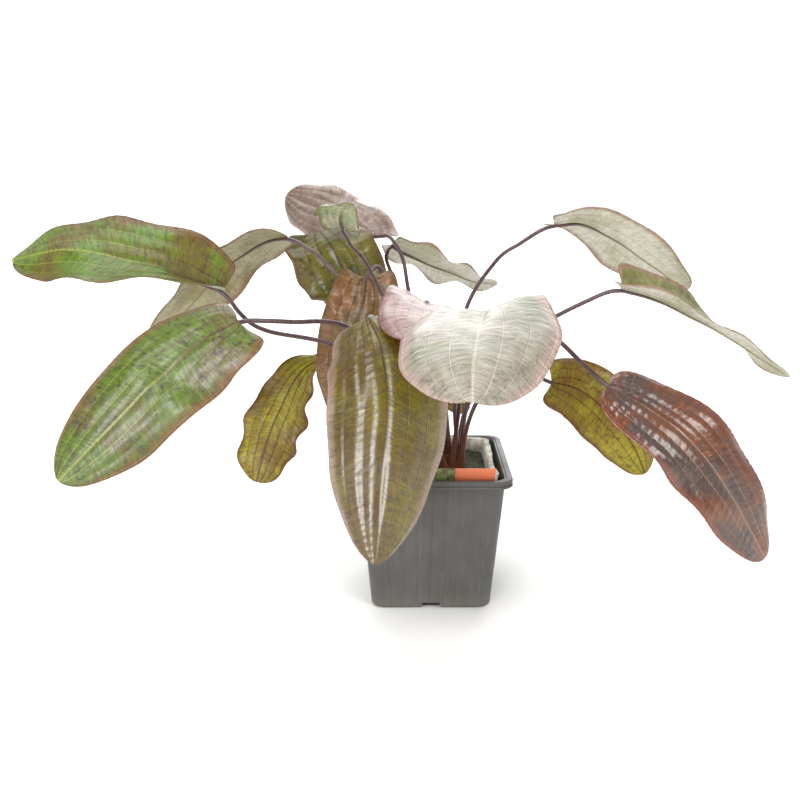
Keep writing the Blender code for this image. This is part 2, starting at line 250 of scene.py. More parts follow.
def make_piece(
    name: str, points: np.ndarray, faces: list, materials: list, smooth: bool = True
) -> bpy.types.Object:
    """Make a mesh object from points in millimetres.

    Args:
        name: the piece's name.
        points: one row for each vertex, in millimetres.
        faces: vertex indexes of each face.
        materials: the materials for its slots.
        smooth: whether faces are shaded smooth.

    Returns:
        The new object, linked to the scene.
    """
    mesh = bpy.data.meshes.new(name)
    mesh.from_pydata((np.asarray(points, float) * MM).tolist(), [], faces)
    for material in materials:
        mesh.materials.append(material)
    mesh.validate()
    if smooth:
        mesh.shade_smooth()
    piece = bpy.data.objects.new(name, mesh)
    bpy.context.scene.collection.objects.link(piece)
    return piece


def face_outwards(piece: bpy.types.Object) -> None:
    """Turn a closed piece's faces outwards.

    Args:
        piece: the piece to change.
    """
    shape = bmesh.new()
    shape.from_mesh(piece.data)
    bmesh.ops.recalc_face_normals(shape, faces=shape.faces)
    shape.to_mesh(piece.data)
    shape.free()


def settle(piece: bpy.types.Object, slot: str, *nodes: str) -> None:
    """Ride a piece on the plant's one body, in the place of its CAD nodes.

    Args:
        piece: the finished piece.
        slot: not used.
        *nodes: the CAD nodes it stands for.
    """
    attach(piece, BODY)
    if nodes:
        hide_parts(*nodes)
    LOG.info("%s: %d faces", piece.name, len(piece.data.polygons))


def loft_faces(rings: int, count: int, capped: bool = True) -> list:
    """Work out the faces that join rings of points.

    Args:
        rings: how many rings.
        count: points in each ring.
        capped: whether the first and last rings are closed by a face.

    Returns:
        The faces, as vertex indexes.
    """
    faces = [
        (level * count + side, level * count + (side + 1) % count,
         (level + 1) * count + (side + 1) % count, (level + 1) * count + side)
        for level in range(rings - 1)
        for side in range(count)
    ]
    if capped:
        faces.append(tuple(reversed(range(count))))
        faces.append(tuple(range((rings - 1) * count, rings * count)))
    return faces


def sheet_faces(rows: int, columns: int) -> tuple[list, int]:
    """Return the faces of a closed thin sheet: its front, its back, then its rim.

    Args:
        rows: points in the sheet's first direction.
        columns: points in its second direction.

    Returns:
        The faces, over the front's points and then the back's, and how many the front has.
    """
    under = rows * columns
    index = np.arange(under).reshape(rows, columns)
    a, b, c, d = index[:-1, :-1], index[:-1, 1:], index[1:, 1:], index[1:, :-1]
    front = np.stack([a, b, c, d], -1).reshape(-1, 4)
    back = np.stack([a, d, c, b], -1).reshape(-1, 4) + under
    rim = np.concatenate([index[0, :], index[1:, -1], index[-1, -2::-1], index[-2:0:-1, 0]])
    after = np.roll(rim, -1)
    edge = np.stack([after, rim, rim + under, after + under], -1)
    return np.vstack([front, back, edge]).tolist(), len(front)


def apply_modifier(piece: bpy.types.Object, modifier: bpy.types.Modifier) -> None:
    """Make a modifier's result the piece's own mesh."""
    with bpy.context.temp_override(object=piece, active_object=piece, selected_objects=[piece]):
        bpy.ops.object.modifier_apply(modifier=modifier.name)


# ---------------------------------------------------------------- finishes


@dataclass(frozen=True)
class LeafFinish:
    """Living leaf tissue: a waxy, glossy cuticle over green and red-brown cells.

    The cuticle gives the white streaks of light, the colour holds painted light and shade along the fine
    cross streaks, and the thin tissue lets light through.
    A heart colour tints the blade's base, and a left_lobe colour its left base lobe.
    """

    name: str
    main: str
    second: str
    spots: str
    margin: str
    vein: str
    vein_tip: str
    under: str
    under_second: str
    heart: str = ""
    left_lobe: str = ""
    roughness: float = 0.30
    gloss: float = 0.5
    glow: float = 0.14
    spot_share: float = 0.7
    vein_strength: float = 0.75
    edge_share: float = 0.75

    def upper(self) -> bpy.types.Material:
        """Return the material of the upper side."""
        return self.side(Side.UPPER, self.main, self.second, self.roughness, self.gloss, 1.0)

    def lower(self) -> bpy.types.Material:
        """Return the material of the underside, which is paler and duller."""
        roughness, gloss = self.roughness + 0.08, self.gloss * 0.6
        return self.side(Side.UNDER, self.under, self.under_second, roughness, gloss, 0.45)

    def side(
        self, side: Side, main: str, second: str, roughness: float, gloss: float, contrast: float
    ) -> bpy.types.Material:
        """Make one side's material.

        Args:
            side: which side, for the name.
            main: the tissue's main colour.
            second: the colour that clouds it.
            roughness: of the cuticle.
            gloss: weight of the wax coat.
            contrast: how strongly veins, spots and streaks show.

        Returns:
            The material.
        """
        material, tree, place = new_tree(f"{self.name}_{side.value}")
        uv = add(tree, "SeparateXYZ", {0: add(tree, "UVMap", uv_map=LEAF_UV).outputs[0]})
        half = add(tree, "Attribute", attribute_name=HALF_WIDTH).outputs["Fac"]
        along = add(tree, "Attribute", attribute_name=ALONG).outputs["Fac"]
        across = math_node(tree, "ABSOLUTE", math_node(tree, "MULTIPLY_ADD", uv.outputs[0], 2.0, -1.0))
        out = math_node(tree, "MULTIPLY", across, half)
        line, rib = self.vein_masks(tree, across, half, out)
        streak = self.streaks(tree, uv.outputs[0], out, along)

        warp = add(tree, "Mapping", {"Vector": place, "Scale": (1.0, 1.0, 0.8)}).outputs[0]
        cloud = ramp(tree, noise(tree, warp, 24.0, 4.0), 0.43, 0.60)
        color = blend_colors(tree, cloud, main, second)
        blot = noise(tree, place, 9.0, 4.0, 0.7)
        patch = ramp(tree, blot, 0.52, 0.66, 0.0, self.spot_share * 0.6 * contrast)
        color = blend_colors(tree, patch, color, self.spots)
        speck = ramp(tree, noise(tree, place, 2.6, 4.0, 0.7), 0.55, 0.60, 0.0, self.spot_share * contrast)
        where = ramp(tree, noise(tree, place, 14.0, 2.0), 0.40, 0.54)
        color = blend_colors(tree, math_node(tree, "MULTIPLY", speck, where), color, self.spots)
        if self.heart:
            color = blend_colors(tree, ramp(tree, uv.outputs[1], 0.05, 0.34, 0.9, 0.0), color, self.heart)
        if self.left_lobe:
            left = ramp(tree, uv.outputs[0], 0.16, 0.44, 0.85, 0.0)
            low = ramp(tree, uv.outputs[1], 0.30, 0.62, 1.0, 0.0)
            color = blend_colors(tree, math_node(tree, "MULTIPLY", left, low), color, self.left_lobe)
        uneven = math_node(tree, "MULTIPLY_ADD", noise(tree, place, 6.0, 3.0), 0.22, across)
        edge = ramp(tree, uneven, 0.88, 1.10, 0.0, self.edge_share)
        color = blend_colors(tree, edge, color, self.margin)
        vein = blend_colors(tree, ramp(tree, uv.outputs[1], 0.12, 0.55), self.vein, self.vein_tip)
        near = ramp(tree, across, 0.10, 0.9, 1.0, 0.30)
        drawn = math_node(tree, "MULTIPLY", line, self.vein_strength * contrast)
        share = math_node(tree, "MULTIPLY", drawn, near)
        color = blend_colors(tree, share, color, vein)
        # Painted light and shade: the cross streaks darken the colour in their grooves and lighten it on
        # their ridges, following the bump; fine adds a real grain of tone.
        shade = ramp(tree, streak, 0.32, 0.68, 1 - 0.28 * contrast, 1 + 0.18 * contrast)
        fine = ramp(tree, noise(tree, place, 0.8, 2.0), 0.3, 0.7, 0.90, 1.10)
        grey = math_node(tree, "MULTIPLY", shade, fine)
        shading_and_grain = add(tree, "CombineXYZ", {0: grey, 1: grey, 2: grey}).outputs[0]
        color = blend_colors(tree, 1.0, color, shading_and_grain, "MULTIPLY")

        height = math_node(tree, "MULTIPLY_ADD", streak, 0.8, math_node(tree, "MULTIPLY", rib, -0.5))
        bump = add_bump(tree, height, 0.45, 1.0)
        rough = ramp(tree, streak, 0.25, 0.75, roughness + 0.12, roughness - 0.08)
        skin = add(tree, "BsdfPrincipled", {
            "Base Color": color, "Roughness": rough, "Normal": bump, "IOR": 1.48,
            "Coat Weight": gloss, "Coat Roughness": 0.22, "Coat IOR": 1.5,
        })
        through = add(tree, "BsdfTranslucent", {"Color": color, "Normal": bump})
        mixed = add(tree, "MixShader", {0: self.glow, 1: skin.outputs[0], 2: through.outputs[0]})
        close_tree(tree, mixed.outputs[0])
        return material

    @staticmethod
    def vein_masks(
        tree: Tree, across: Socket, half: Socket, out: Socket
    ) -> tuple[Socket, Socket]:
        """Return the masks of the drawn veins and of the grooves they lie in.

        Args:
            tree: the node tree.
            across: share of the way from midrib to margin.
            half: half the blade's width there, in millimetres.
            out: distance from the midrib, in millimetres.

        Returns:
            Two sockets, each 1 on the vein and 0 away from it.
        """
        turn = math_node(tree, "FRACT", math_node(tree, "MULTIPLY_ADD", across, 1 / VEIN_SPACING, 0.5))
        away = math_node(tree, "ABSOLUTE", math_node(tree, "SUBTRACT", turn, 0.5))
        away = math_node(tree, "MULTIPLY", math_node(tree, "MULTIPLY", away, VEIN_SPACING), half)
        vein = ramp(tree, away, 0.10, 0.50, 1.0, 0.0)
        rib = ramp(tree, out, 0.30, 0.95, 1.0, 0.0)
        return math_node(tree, "MAXIMUM", vein, rib), vein

    @staticmethod
    def streaks(tree: Tree, uv_across: Socket, out: Socket, along: Socket) -> Socket:
        """Draw the fine cross veins: streaks about 1.3 mm apart that sweep towards the tip.

        Args:
            tree: the node tree.
            uv_across: share of the way from the left margin to the right.
            out: distance from the midrib, in millimetres.
            along: distance from the blade's base, in millimetres.

        Returns:
            The streaks, from 0 to 1.
        """
        lean = math_node(tree, "MULTIPLY_ADD", out, -0.55, along)
        vector = add(tree, "CombineXYZ", {
            0: math_node(tree, "MULTIPLY", out, 0.13), 1: math_node(tree, "MULTIPLY", lean, 0.80),
            2: math_node(tree, "MULTIPLY", uv_across, 4.0),
        })
        return add(tree, "TexNoise", {"Vector": vector.outputs[0], "Scale": 1.0, "Detail": 3.0}).outputs[0]


GREEN = LeafFinish(
    "leaf_green", "#52660F", "#5C5624", "#33241A", "#7A4A2C", "#5A2820", "#96984E",
    "#A09C7C", "#8A8C60",
    roughness=0.36, gloss=0.35, glow=0.12, spot_share=0.85)
FRESH_GREEN = LeafFinish(
    "leaf_fresh_green", "#587606", "#645A14", "#46321C", "#6E4018", "#4A1C14", "#8E9838",
    "#A8A88C", "#8E9868",
    roughness=0.38, gloss=0.3, glow=0.20, spot_share=0.7)
DEEP_OLIVE = LeafFinish(
    "leaf_olive", "#6A6414", "#4A4C12", "#4A2C12", "#6E4A1C", "#3A1410", "#4A2A14",
    "#8E8A54", "#78703E",
    glow=0.30)
YELLOW_OLIVE = LeafFinish(
    "leaf_yellow_olive", "#A69A16", "#86700F", "#7A3C14", "#7A4A1A", "#4A1A16", "#6A2E1A",
    "#A59A50", "#8E7A3A",
    roughness=0.38, glow=0.42)
SILVER_OLIVE = LeafFinish(
    "leaf_silver_olive", "#665A0E", "#5A4610", "#3A2210", "#AE8C84", "#4A3414", "#5C4A1C",
    "#A9A080", "#8F8A68",
    roughness=0.24, gloss=0.8, glow=0.10, spot_share=0.6, edge_share=0.6)
BRONZE = LeafFinish(
    "leaf_bronze", "#4A3832", "#6A3A1C", "#38241E", "#7C3A22", "#5A241C", "#A8806A",
    "#8A6E58", "#7A5A44",
    roughness=0.22, gloss=0.8, glow=0.12, spot_share=0.5, vein_strength=0.55)
DULL_OLIVE = LeafFinish(
    "leaf_dull_olive", "#6E7034", "#5E5624", "#4A3824", "#84543A", "#6E2A22", "#8A7E4E",
    "#A59E7C", "#8C8458",
    roughness=0.34, glow=0.18, spot_share=0.5)
# Pale grey-mauve colours that are partly painted sheen: the white reflection on this leaf is painted into
# its own mauve-green; the left_lobe tint keeps its own green where less sheen falls.
PALE_MAUVE_PAINTED_SHEEN = LeafFinish(
    "leaf_pale_mauve", "#8E8678", "#83806A", "#57503A", "#B4948C", "#B4A898", "#D2CCB4",
    "#A89A88", "#948A70",
    left_lobe="#4E5218", roughness=0.36, gloss=0.3, glow=0.08, spot_share=0.6, vein_strength=0.5)
PINK_MAUVE = LeafFinish(
    "leaf_pink_mauve", "#B09894", "#9A7A76", "#7A5450", "#6E1E16", "#C0A8A0", "#CCB8B0",
    "#8E2E14", "#7A2410",
    heart="#8A240A", roughness=0.32, glow=0.24, spot_share=0.3, vein_strength=0.4)
BROWN = LeafFinish(
    "leaf_brown", "#8A5E30", "#75582A", "#50321A", "#7E5A34", "#3E1A16", "#5E3020",
    "#9A8258", "#86703E",
    roughness=0.40, glow=0.34)
PALE_GREEN = LeafFinish(
    "leaf_pale_green", "#76783E", "#665E28", "#54402A", "#8A5A3E", "#5E2A26", "#8E8660",
    "#C6C2B0", "#AAA98C",
    roughness=0.32, glow=0.16, spot_share=0.4)
MAUVE = LeafFinish(
    "leaf_mauve", "#7E695C", "#6A5648", "#584034", "#B49C92", "#9A8678", "#B0A090",
    "#4E3018", "#3E2612",
    roughness=0.28, gloss=0.6, glow=0.12, spot_share=0.4, vein_strength=0.5)


@dataclass(frozen=True)
class StalkFinish:
    """Smooth stalk skin: dark purple-red, with lighter streaks that are partly its own streaky tone and
    partly a painted sheen line.
    """

    main: str = "#2A1214"
    second: str = "#4C282B"
    base: str = "#7C4C34"
    rib: str = "#8E8462"

    def make(self) -> bpy.types.Material:
        """Build the material's nodes.

        Returns:
            The finished material.
        """
        material, tree, place = new_tree("stalk_skin")
        stretched = add(tree, "Mapping", {"Vector": place, "Scale": (1.0, 1.0, 0.12)}).outputs[0]
        streak = noise(tree, stretched, 1.2, 3.0)
        # the lighter second colour in the streaks is partly painted sheen
        color = blend_colors(tree, ramp(tree, streak, 0.35, 0.65), self.main, self.second)
        low = ramp(tree, add(tree, "SeparateXYZ", {0: place}).outputs[2], 76 * MM, 112 * MM, 0.75, 0.0)
        color = blend_colors(tree, low, color, self.base)
        fade = add(tree, "Attribute", attribute_name=RIB_FADE).outputs["Fac"]
        color = blend_colors(tree, fade, color, self.rib)
        bump = add_bump(tree, streak, 0.12, 0.7)
        rough = ramp(tree, streak, 0.3, 0.7, 0.30, 0.44)
        close_skin(tree, color, rough, bump, {"Coat Weight": 0.35, "Coat Roughness": 0.28})
        return material


@dataclass(frozen=True)
class PotFinish:
    """Injection-moulded recycled polypropylene: mid grey, satin, faintly cloudy and scuffed."""

    main: str = "#4B4A47"
    second: str = "#454340"
    scuff: str = "#6E6C68"
    # near black: painted shade inside the pot
    inside: str = "#1C1C1B"

    def make(self, inner: bool = False) -> bpy.types.Material:
        """Build the material's nodes.

        Args:
            inner: whether it is the inside, painted near black as the shade in the pot's recess and clouded
                dark brown.

        Returns:
            The finished material.
        """
        material, tree, place = new_tree("polypropylene_inside_painted_shade" if inner else "polypropylene_grey")
        cloud = noise(tree, place, 18.0, 4.0)
        grain = noise(tree, place, 0.5, 2.0)
        drawn = add(tree, "Mapping", {"Vector": place, "Scale": (1.0, 1.0, 0.06)}).outputs[0]
        lines = noise(tree, drawn, 1.6, 3.0)
        if inner:
            # painted shade: the inside is near black for the shade in the pot's recess, clouded dark brown
            color = blend_colors(tree, cloud, self.inside, "#2E2B26")
        else:
            color = blend_colors(tree, ramp(tree, cloud, 0.35, 0.65), self.main, self.second)
            color = blend_colors(tree, ramp(tree, lines, 0.52, 0.75, 0.0, 0.25), color, self.scuff)
            dust = ramp(tree, add(tree, "SeparateXYZ", {0: place}).outputs[2], 0.0, 14 * MM, 0.16, 0.0)
            color = blend_colors(tree, dust, color, "#8C8578")
        height = math_node(tree, "MULTIPLY_ADD", lines, 0.6, math_node(tree, "MULTIPLY", grain, 0.3))
        bump = add_bump(tree, height, 0.08, 0.6)
        rough = ramp(tree, cloud, 0.3, 0.7, 0.42, 0.55)
        close_skin(tree, color, rough, bump, {"IOR": 1.49})
        return material


@dataclass(frozen=True)
class FibreFinish:
    """Spun mineral wool: matt white fibres, cream where damp, that look like crumpled felt, with painted
    shade in the hollows between them.
    """

    name: str = "mineral_wool"
    main: str = "#DEDBD2"
    second: str = "#B9B19C"
    stain: str = "#6E6A52"
    stained: float = 0.35

    def make(self) -> bpy.types.Material:
        """Build the material's nodes.

        Returns:
            The finished material.
        """
        material, tree, place = new_tree(self.name)
        cloud = noise(tree, place, 6.0, 5.0, 0.6)
        bent = add(tree, "Mapping", {"Vector": place, "Scale": (1.0, 0.35, 2.4)}).outputs[0]
        fibre = noise(tree, bent, 0.8, 5.0, 0.7)
        color = blend_colors(tree, ramp(tree, cloud, 0.4, 0.62), self.main, self.second)
        damp = ramp(tree, noise(tree, place, 11.0, 4.0), 0.52, 0.66, 0.0, self.stained)
        color = blend_colors(tree, damp, color, self.stain)
        # painted shade: darker grey-brown in the hollows between the fibres, where the bump sinks
        color = blend_colors(tree, ramp(tree, fibre, 0.3, 0.5, 0.45, 0.0), color, "#4E4A40")
        bump = add_bump(tree, fibre, 0.7, 0.9)
        close_skin(tree, color, 0.95, bump, {"Sheen Weight": 0.2, "Specular IOR Level": 0.2})
        return material


@dataclass(frozen=True)
class MossFinish:
    """Damp moss and root mat: near black hollows with grey-green tufts."""

    dark: str = "#1E2118"
    tuft: str = "#4A5138"
    crumb: str = "#8A866E"

    def make(self) -> bpy.types.Material:
        """Build the material's nodes.

        Returns:
            The finished material.
        """
        material, tree, place = new_tree("moss_and_roots")
        tuft = noise(tree, place, 2.4, 6.0, 0.7)
        color = blend_colors(tree, ramp(tree, tuft, 0.42, 0.66), self.dark, self.tuft)
        crumb = ramp(tree, noise(tree, place, 1.6, 3.0), 0.64, 0.72, 0.0, 0.7)
        color = blend_colors(tree, crumb, color, self.crumb)
        bump = add_bump(tree, tuft, 1.2, 1.0)
        rough = ramp(tree, tuft, 0.4, 0.6, 0.7, 0.95)
        close_skin(tree, color, rough, bump)
        return material


@dataclass(frozen=True)
class CardFinish:
    """Coated label board: flat orange ink, with a plain mottled green panel at one end."""

    ink: str = "#D2704A"
    panel: str = "#7C8C50"
    panel_dark: str = "#4E4A2C"
    panel_end_mm: float = 13.0

    def make(self) -> bpy.types.Material:
        """Build the material's nodes.

        Returns:
            The finished material.
        """
        material, tree, place = new_tree("card_stock")
        parts = add(tree, "SeparateXYZ", {0: place})
        worn = noise(tree, place, 3.0, 4.0)
        ink = blend_colors(tree, ramp(tree, worn, 0.5, 0.75, 0.0, 0.35), self.ink, "#E2946E")
        blot = noise(tree, place, 3.2, 5.0, 0.7)
        panel = blend_colors(tree, ramp(tree, blot, 0.4, 0.6), self.panel, self.panel_dark)
        left = ramp(tree, parts.outputs[0], (self.panel_end_mm - 0.6) * MM, self.panel_end_mm * MM, 1.0, 0.0)
        color = blend_colors(tree, left, ink, panel)
        bump = add_bump(tree, worn, 0.05, 0.4)
        rough = ramp(tree, worn, 0.3, 0.7, 0.38, 0.55)
        close_skin(tree, color, rough, bump)
        return material


@dataclass(frozen=True)
class FloorFinish:
    """Matt white studio board, with a faint paper grain."""

    color: str = "#F4F4F2"

    def make(self) -> bpy.types.Material:
        """Build the material's nodes.

        Returns:
            The finished material.
        """
        material, tree, place = new_tree("studio_board")
        grain = noise(tree, place, 40.0, 2.0)
        color = blend_colors(tree, grain, self.color, "#F1F1EF")
        away = add(tree, "VectorMath", {0: place}, operation="LENGTH").outputs["Value"]
        lit = ramp(tree, away, 0.35, 1.2, 0.0, 0.6)
        skin = add(tree, "BsdfPrincipled", {
            "Base Color": color, "Roughness": 0.9, "Specular IOR Level": 0.1,
            "Emission Color": (1.0, 1.0, 1.0, 1.0), "Emission Strength": lit,
        })
        close_tree(tree, skin.outputs[0])
        return material


# ---------------------------------------------------------------- leaves


@dataclass(frozen=True)
class Leaf:
    """One leaf's plan: where its stalk and midrib run, and how its blade is shaped.

    Points are millimetres from the middle of the pot's underside. Root_ring and root_angle
    say where on the crown the stalk starts, and faces are the ways the upper side looks,
    from base to tip. Shoulder and taper shape the outline at its base and tip. Lobe and
    ruffle are millimetres. Fold lifts each half and droop curls its margin down, both in
    degrees; their fours go base left, base right, tip left, tip right. Waves counts the
    margin's ruffles and balance is the right base lobe as a share of the left. Quilt, pleat
    and scallop set the cross ripples, the grooves along the veins, both in millimetres, and
    the margin's in-and-out waves, as a share of the width.
    """

    name: str
    finish: LeafFinish
    root_ring: float
    root_angle: float
    stalk: tuple
    midrib: tuple
    faces: tuple
    width: float
    lobe: float = 8.0
    shoulder: float = 0.45
    taper: float = 0.5
    fold: tuple = (10, 10, 0, 0)
    droop: tuple = (20, 20, 20, 20)
    ruffle: float = 1.0
    waves: float = 3.0
    balance: float = 1.0
    quilt: float = 0.10
    pleat: float = 0.5
    scallop: float = 0.015


LEAVES = (
    Leaf("left_high", FRESH_GREEN, 10, 194,
         ((-18, -26, 131), (-52, -38, 156), (-88, -42, 165), (-101, -42, 173)),
         ((-111, -40, 186), (-133, -42, 195), (-163, -44, 204), (-194, -42, 208), (-222, -38, 202)),
         ((0.1, -0.35, 0.9), (0.0, -0.35, 0.9), (0.0, -0.45, 0.9)),
         54, 12, 0.46, 0.5, (38, 50, -75, 0), (0, 10, -85, 5), 1.8, 3.4),
    Leaf("left_front", GREEN, 10, 214,
         ((-15, -34, 142), (-46, -60, 171), (-72, -80, 177)),
         ((-95, -92, 180), (-113, -96, 170), (-137, -102, 150), (-159, -106, 128), (-183, -108, 104)),
         ((0.1, -0.6, 0.8), (0.1, -0.8, 0.6), (0.2, -0.8, 0.6)),
         50, 18, 0.40, 0.5, (0, 38, -5, 5), (30, 80, 20, 20), 1.6, 2.4, 0.4),
    Leaf("left_back", DULL_OLIVE, 10, 152,
         ((-16, 6, 144), (-35, 10, 166), (-61, 14, 194), (-73, 18, 203)),
         ((-83, 23, 208), (-99, 30, 204), (-123, 38, 188), (-153, 44, 158), (-182, 46, 132)),
         ((0.0, 0.5, 0.9), (0.0, 0.5, 0.9), (-0.5, 0.5, 0.8)),
         44, 6, 0.46, 0.5, ruffle=1.8),
    Leaf("left_low", YELLOW_OLIVE, 10, 173,
         ((-3, -4, 110), (-27, 4, 138), (-48, 16, 141)),
         ((-63, 24, 137), (-79, 28, 125), (-93, 30, 100), (-102, 30, 77), (-108, 28, 55)),
         ((0.0, -0.6, 0.8), (0.0, -0.9, 0.4)),
         38, 2, 0.7, 0.42, ruffle=3.0, waves=3.4, scallop=0.07),
    Leaf("front_hanging", SILVER_OLIVE, 10, 240,
         ((-4, -24, 119), (-20, -46, 156), (-31, -62, 175)),
         ((-34, -73, 178), (-27, -88, 165), (-24, -102, 142), (-27, -112, 107), (-30, -121, 66)),
         ((0.0, -0.8, 0.6), (0.0, -1.0, 0.3), (0.0, -1.0, 0.3)),
         67, 12, 0.46, 0.62, (0, 0, 0, 0), (45, 45, 50, 50), pleat=1.0, quilt=0.2),
    Leaf("young_top", FRESH_GREEN, 6.5, 205,
         ((-11, -16, 138), (-27, -34, 182), (-36, -50, 203), (-43, -56, 212)),
         ((-47, -62, 221), (-47, -78, 227), (-45, -98, 232), (-40, -108, 236)),
         ((0.1, -0.5, 0.85), (0.5, -0.5, 0.8)),
         24, 7, 0.5, 0.6, (10, 10, 10, 10), (40, 40, 40, 40)),
    Leaf("back_left", MAUVE, 6.5, 80,
         ((-1, 12, 131), (-12, 34, 171), (-16, 50, 191), (-22, 58, 202), (-27, 64, 205)),
         ((-34, 70, 203), (-43, 76, 209), (-59, 84, 216), (-77, 95, 221), (-93, 106, 227)),
         ((0.0, -0.4, 0.9), (-0.2, -0.5, 0.8), (-0.3, -0.8, 0.5)),
         42, 17, 0.45, 0.5, (0, 20, 0, 20), (30, 30, 30, 30), 2.0),
    Leaf("back_centre", DEEP_OLIVE, 10, 122,
         ((-5, 24, 135), (-22, 50, 170), (-45, 58, 196), (-62, 58, 210)),
         ((-67, 49, 209), (-59, 42, 200), (-51, 38, 184), (-47, 38, 169), (-49, 42, 154)),
         ((0.3, -0.8, 0.5), (0.2, -1.0, 0.2), (0.0, -1.0, 0.1)),
         55, 15, 0.42, 0.5, (0, 0, 0, 0), (20, 20, 20, 20), 2.5),
    Leaf("inner_arched", BROWN, 6.5, 150,
         ((-2, -2, 134), (-17, 0, 163), (-24, 2, 182), (-29, 3, 192), (-33, 1, 193)),
         ((-37, -3, 188), (-38, -9, 176), (-42, -12, 160), (-46, -10, 136), (-50, -4, 102)),
         ((0.0, -0.8, 0.6), (0.0, -1.0, 0.1)),
         46, 16, 0.44, 0.5, (0, 0, 0, 0), (30, 30, 30, 30), 2.4),
    Leaf("back_right", PALE_GREEN, 10, 70,
         ((1, 20, 129), (-15, 50, 160), (-23, 70, 179), (-27, 80, 190)),
         ((-24, 87, 197), (-11, 92, 189), (8, 98, 180), (29, 102, 172), (47, 104, 168)),
         ((0.0, 0.42, 0.9), (0.0, 0.42, 0.9)),
         48, 8, 0.46, 0.45, (10, 10, 10, 0), (0, 10, 20, 20), 3.0),
    Leaf("right_high", PALE_GREEN, 10, 15,
         ((14, 0, 116), (20, 14, 165), (38, 22, 194), (53, 28, 204), (65, 32, 211)),
         ((73, 36, 214), (91, 40, 214), (111, 48, 205), (137, 58, 188), (163, 64, 170)),
         ((0.0, 0.5, 0.9), (0.1, 0.7, 0.7), (0.2, 0.7, 0.7)),
         46, 15, 0.44, 0.45, (30, 10, 0, 0), (10, 20, 20, 20)),
    Leaf("right_level", PALE_GREEN, 10, 340,
         ((22, -10, 119), (49, -20, 156), (66, -24, 169), (91, -30, 183)),
         ((100, -32, 186), (115, -36, 182), (136, -40, 173), (165, -44, 157), (189, -48, 141)),
         ((0.0, 0.3, 0.95), (0.0, 0.25, 1.0), (0.3, 0.3, 0.9)),
         46, 16, 0.45, 0.6, (60, 10, 0, 0), (0, 10, 20, 20), 2.0),
    Leaf("right_front", BRONZE, 10, 305,
         ((24, -26, 120), (50, -50, 164), (62, -58, 164), (74, -68, 154)),
         ((86, -77, 144), (107, -84, 133), (128, -92, 117), (149, -94, 89), (169, -90, 56)),
         ((0.0, -0.6, 0.8), (0.2, -0.8, 0.5), (0.3, -0.8, 0.4)),
         45, 8, 0.44, 0.5, (10, 10, 10, 10), (30, 30, 25, 25), 1.8, pleat=0.6, quilt=0.2),
    Leaf("right_low", YELLOW_OLIVE, 10, 42,
         ((21, 10, 107), (42, 22, 126), (61, 30, 124)),
         ((75, 34, 118), (90, 32, 115), (108, 30, 102), (125, 30, 82), (136, 30, 60)),
         ((0.0, -0.8, 0.6), (0.1, -0.9, 0.3)),
         44, 12, 0.45, 0.5),
    Leaf("front_right", PALE_MAUVE_PAINTED_SHEEN, 10, 272,
         ((14, -18, 103), (16, -42, 138), (18, -64, 167), (20, -78, 179)),
         ((23, -95, 185), (20, -108, 184), (16, -138, 182), (12, -166, 176), (10, -188, 165)),
         ((0.0, -0.2, 0.95), (0.0, -0.5, 0.9), (0.0, -0.9, 0.4)),
         73, 16, 0.44, 0.5, (45, 12, 5, 0), (50, 40, 45, 45), 1.0, 2.0, quilt=0.14),
    Leaf("front_inner", PINK_MAUVE, 6.5, 262,
         ((9, -12, 107), (5, -22, 139), (0, -32, 169), (-4, -38, 181)),
         ((-4, -42, 180), (-5, -58, 180), (-8, -80, 177), (-11, -99, 172)),
         ((0.0, -0.2, 0.95), (0.0, -0.5, 0.9)),
         46, 12, 0.45, 0.5, (0, 34, -5, -5), (30, 10, 30, 30)),
    Leaf("young_low", YELLOW_OLIVE, 10, 98,
         ((6, 18, 96), (-2, 30, 112)),
         ((4, 27, 118), (11, 29, 113), (18, 30, 107), (25, 31, 102)),
         ((0.0, -0.8, 0.6), (0.0, -0.8, 0.6)),
         18, 3, 0.46, 0.5),
)


